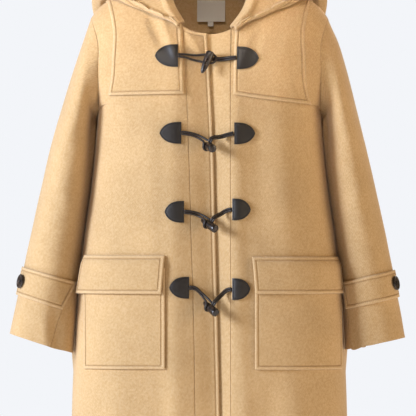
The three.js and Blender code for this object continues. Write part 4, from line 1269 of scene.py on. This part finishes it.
def modelCross():
    top = buttonShape["thick"] - buttonShape["well"]
    reach = buttonShape["holeOut"] * math.sqrt(2) * mm
    parts = []
    for x, y in ((1, 1), (1, -1)):
        for aside in (-threadShape["aside"], threadShape["aside"]):
            strand = addShape(
                bpy.ops.mesh.primitive_cylinder_add, vertices=10, radius=threadShape["radius"] * mm,
                depth=1, rotation=(0, math.pi / 2, 0),
            )
            editWhole(strand, *(
                (bpy.ops.mesh.bisect, {"plane_co": (cut, 0, 0), "plane_no": (1, 0, 0)})
                for cut in (-0.45, -0.32, 0.0, 0.32, 0.45)
            ))
            points = meshPoints(strand)
            run = points[:, 0] * 2
            dip = np.maximum(np.abs(run) - threadShape["dropFrom"], 0) / (1 - threadShape["dropFrom"])
            rise = top + threadShape["rise"] - threadShape["drop"] * dip + threadShape["over"] * (y > 0)
            way = np.array([x, y]) / math.sqrt(2)
            aslant = np.array([-way[1], way[0]])
            flat = run[:, None] * reach * way + (points[:, 1, None] + aside * mm) * aslant
            setPoints(strand, np.column_stack([flat, points[:, 2] + rise * mm]))
            parts.append(strand)
    for part in parts:
        part.select_set(True)
    bpy.context.view_layer.objects.active = parts[0]
    bpy.ops.object.join()
    editWhole(parts[0], (bpy.ops.mesh.normals_make_consistent, {"inside": False}))
    shadeSmooth(parts[0], 60)
    return parts[0]


def makeButton(hand, patterns):
    nodeName = f"sleeve_button_{hand}"
    spots = nodePoints(nodeName)
    centre = (spots.max(axis=0) + spots.min(axis=0)) / 2
    out = np.linalg.svd(spots - spots.mean(axis=0))[2][2]
    away = centre[:2] - [np.polyval(line, centre[2]) for line in sleeveMiddle[hand]]
    out *= np.sign(out[:2] @ away)
    back = centre + out * ((spots - centre) @ out).min()
    moved = sleeveDrape(hand, centre[None, :])[0]
    button, cross = (copyOf(pattern, f"{name}_{hand}") for name, pattern in patterns)
    for piece in (button, cross):
        placeTurned(piece, back + moved, out, np.array([0, 0, 1.0]))
    finishPiece(button, buttonMaterial, "button", nodeName)
    finishPiece(cross, blackThread, "button")


buttonPatterns = [("horn_sleeve_button", modelButton()), ("thread_sleeve_button", modelCross())]
for hand in ("right", "left"):
    makeButton(hand, buttonPatterns)
for _, pattern in buttonPatterns:
    removePiece(pattern)
print("sleeve buttons done")


# A pale room: a floor with a faint glow, the air that lights the shadows, and a backdrop.
studio = {
    "floorZ": -1600, "floorSize": 56, "floor": "#F2F3F5", "glow": "#FFF5EA", "glowStrength": 0.36,
    "backdrop": "#F3F5F9", "air": "#FFDCB0", "airStrength": 0.2,
}


def makeStudio():
    bpy.ops.object.select_all(action="DESELECT")
    bpy.ops.mesh.primitive_plane_add(size=studio["floorSize"], location=(0, 0, studio["floorZ"] * mm))
    floor = bpy.context.object
    floor.name = "floor"
    material, tree = newMaterial("matt white floor paint")
    mottle = noiseAt(tree, objectPlace(tree), 3.0, 2.0)
    floor.data.materials.append(endMaterial(material, {
        "Base Color": studio["floor"], "Roughness": remap(tree, mottle, 0.0, 1.0, 0.85, 0.95),
        "Emission Color": studio["glow"], "Emission Strength": studio["glowStrength"],
    }))
    world = bpy.data.worlds.new("studio air")
    world.use_nodes = True
    tree = world.node_tree
    tree.nodes.clear()
    seen = addNode(tree, "ShaderNodeBackground", {}, {"Color": studio["backdrop"], "Strength": 1.0})
    shining = addNode(tree, "ShaderNodeBackground", {}, {
        "Color": studio["air"], "Strength": studio["airStrength"],
    })
    path = addNode(tree, "ShaderNodeLightPath")
    mixed = addNode(tree, "ShaderNodeMixShader", {}, {
        0: path.outputs["Is Camera Ray"], 1: shining.outputs["Background"], 2: seen.outputs["Background"],
    })
    addNode(tree, "ShaderNodeOutputWorld", {}, {"Surface": mixed.outputs["Shader"]})
    scene.world = world


# the key from the left and a warm fill from the right, a narrow one into the neck, and one from behind
coatMiddle = (0, 0, -0.4)
lights = [
    {"name": "key", "at": (-3.35, -1.7, 0.5), "size": 1.2, "watts": 226, "tint": "#E2ECFF"},
    {"name": "rightFill", "at": (3.3, -1.3, 0.0), "size": 1.8, "watts": 50, "tint": "#FFE7C8"},
    {"name": "neckLight", "at": (-0.3, -1.8, 1.7), "size": 0.5, "watts": 0.5, "tint": "#FFEFDC",
     "aim": (0, 0.09, -0.02), "spread": 8},
    {"name": "backFill", "at": (0.6, 3.2, 1.2), "size": 2.0, "watts": 60, "tint": "#FFF8EE"},
]


def makeLight(light):
    bpy.ops.object.light_add(type="AREA", location=light["at"])
    lamp = bpy.context.object
    lamp.name = light["name"]
    lamp.data.size = light["size"]
    lamp.data.energy = light["watts"]
    lamp.data.spread = math.radians(light.get("spread", 180))
    lamp.data.color = colour(light["tint"])[:3]
    way = Vector(light.get("aim", coatMiddle)) - Vector(light["at"])
    lamp.rotation_euler = way.to_track_quat("-Z", "Y").to_euler()


makeStudio()
for light in lights:
    makeLight(light)
scene.view_settings.view_transform = "Standard"
print("studio set")
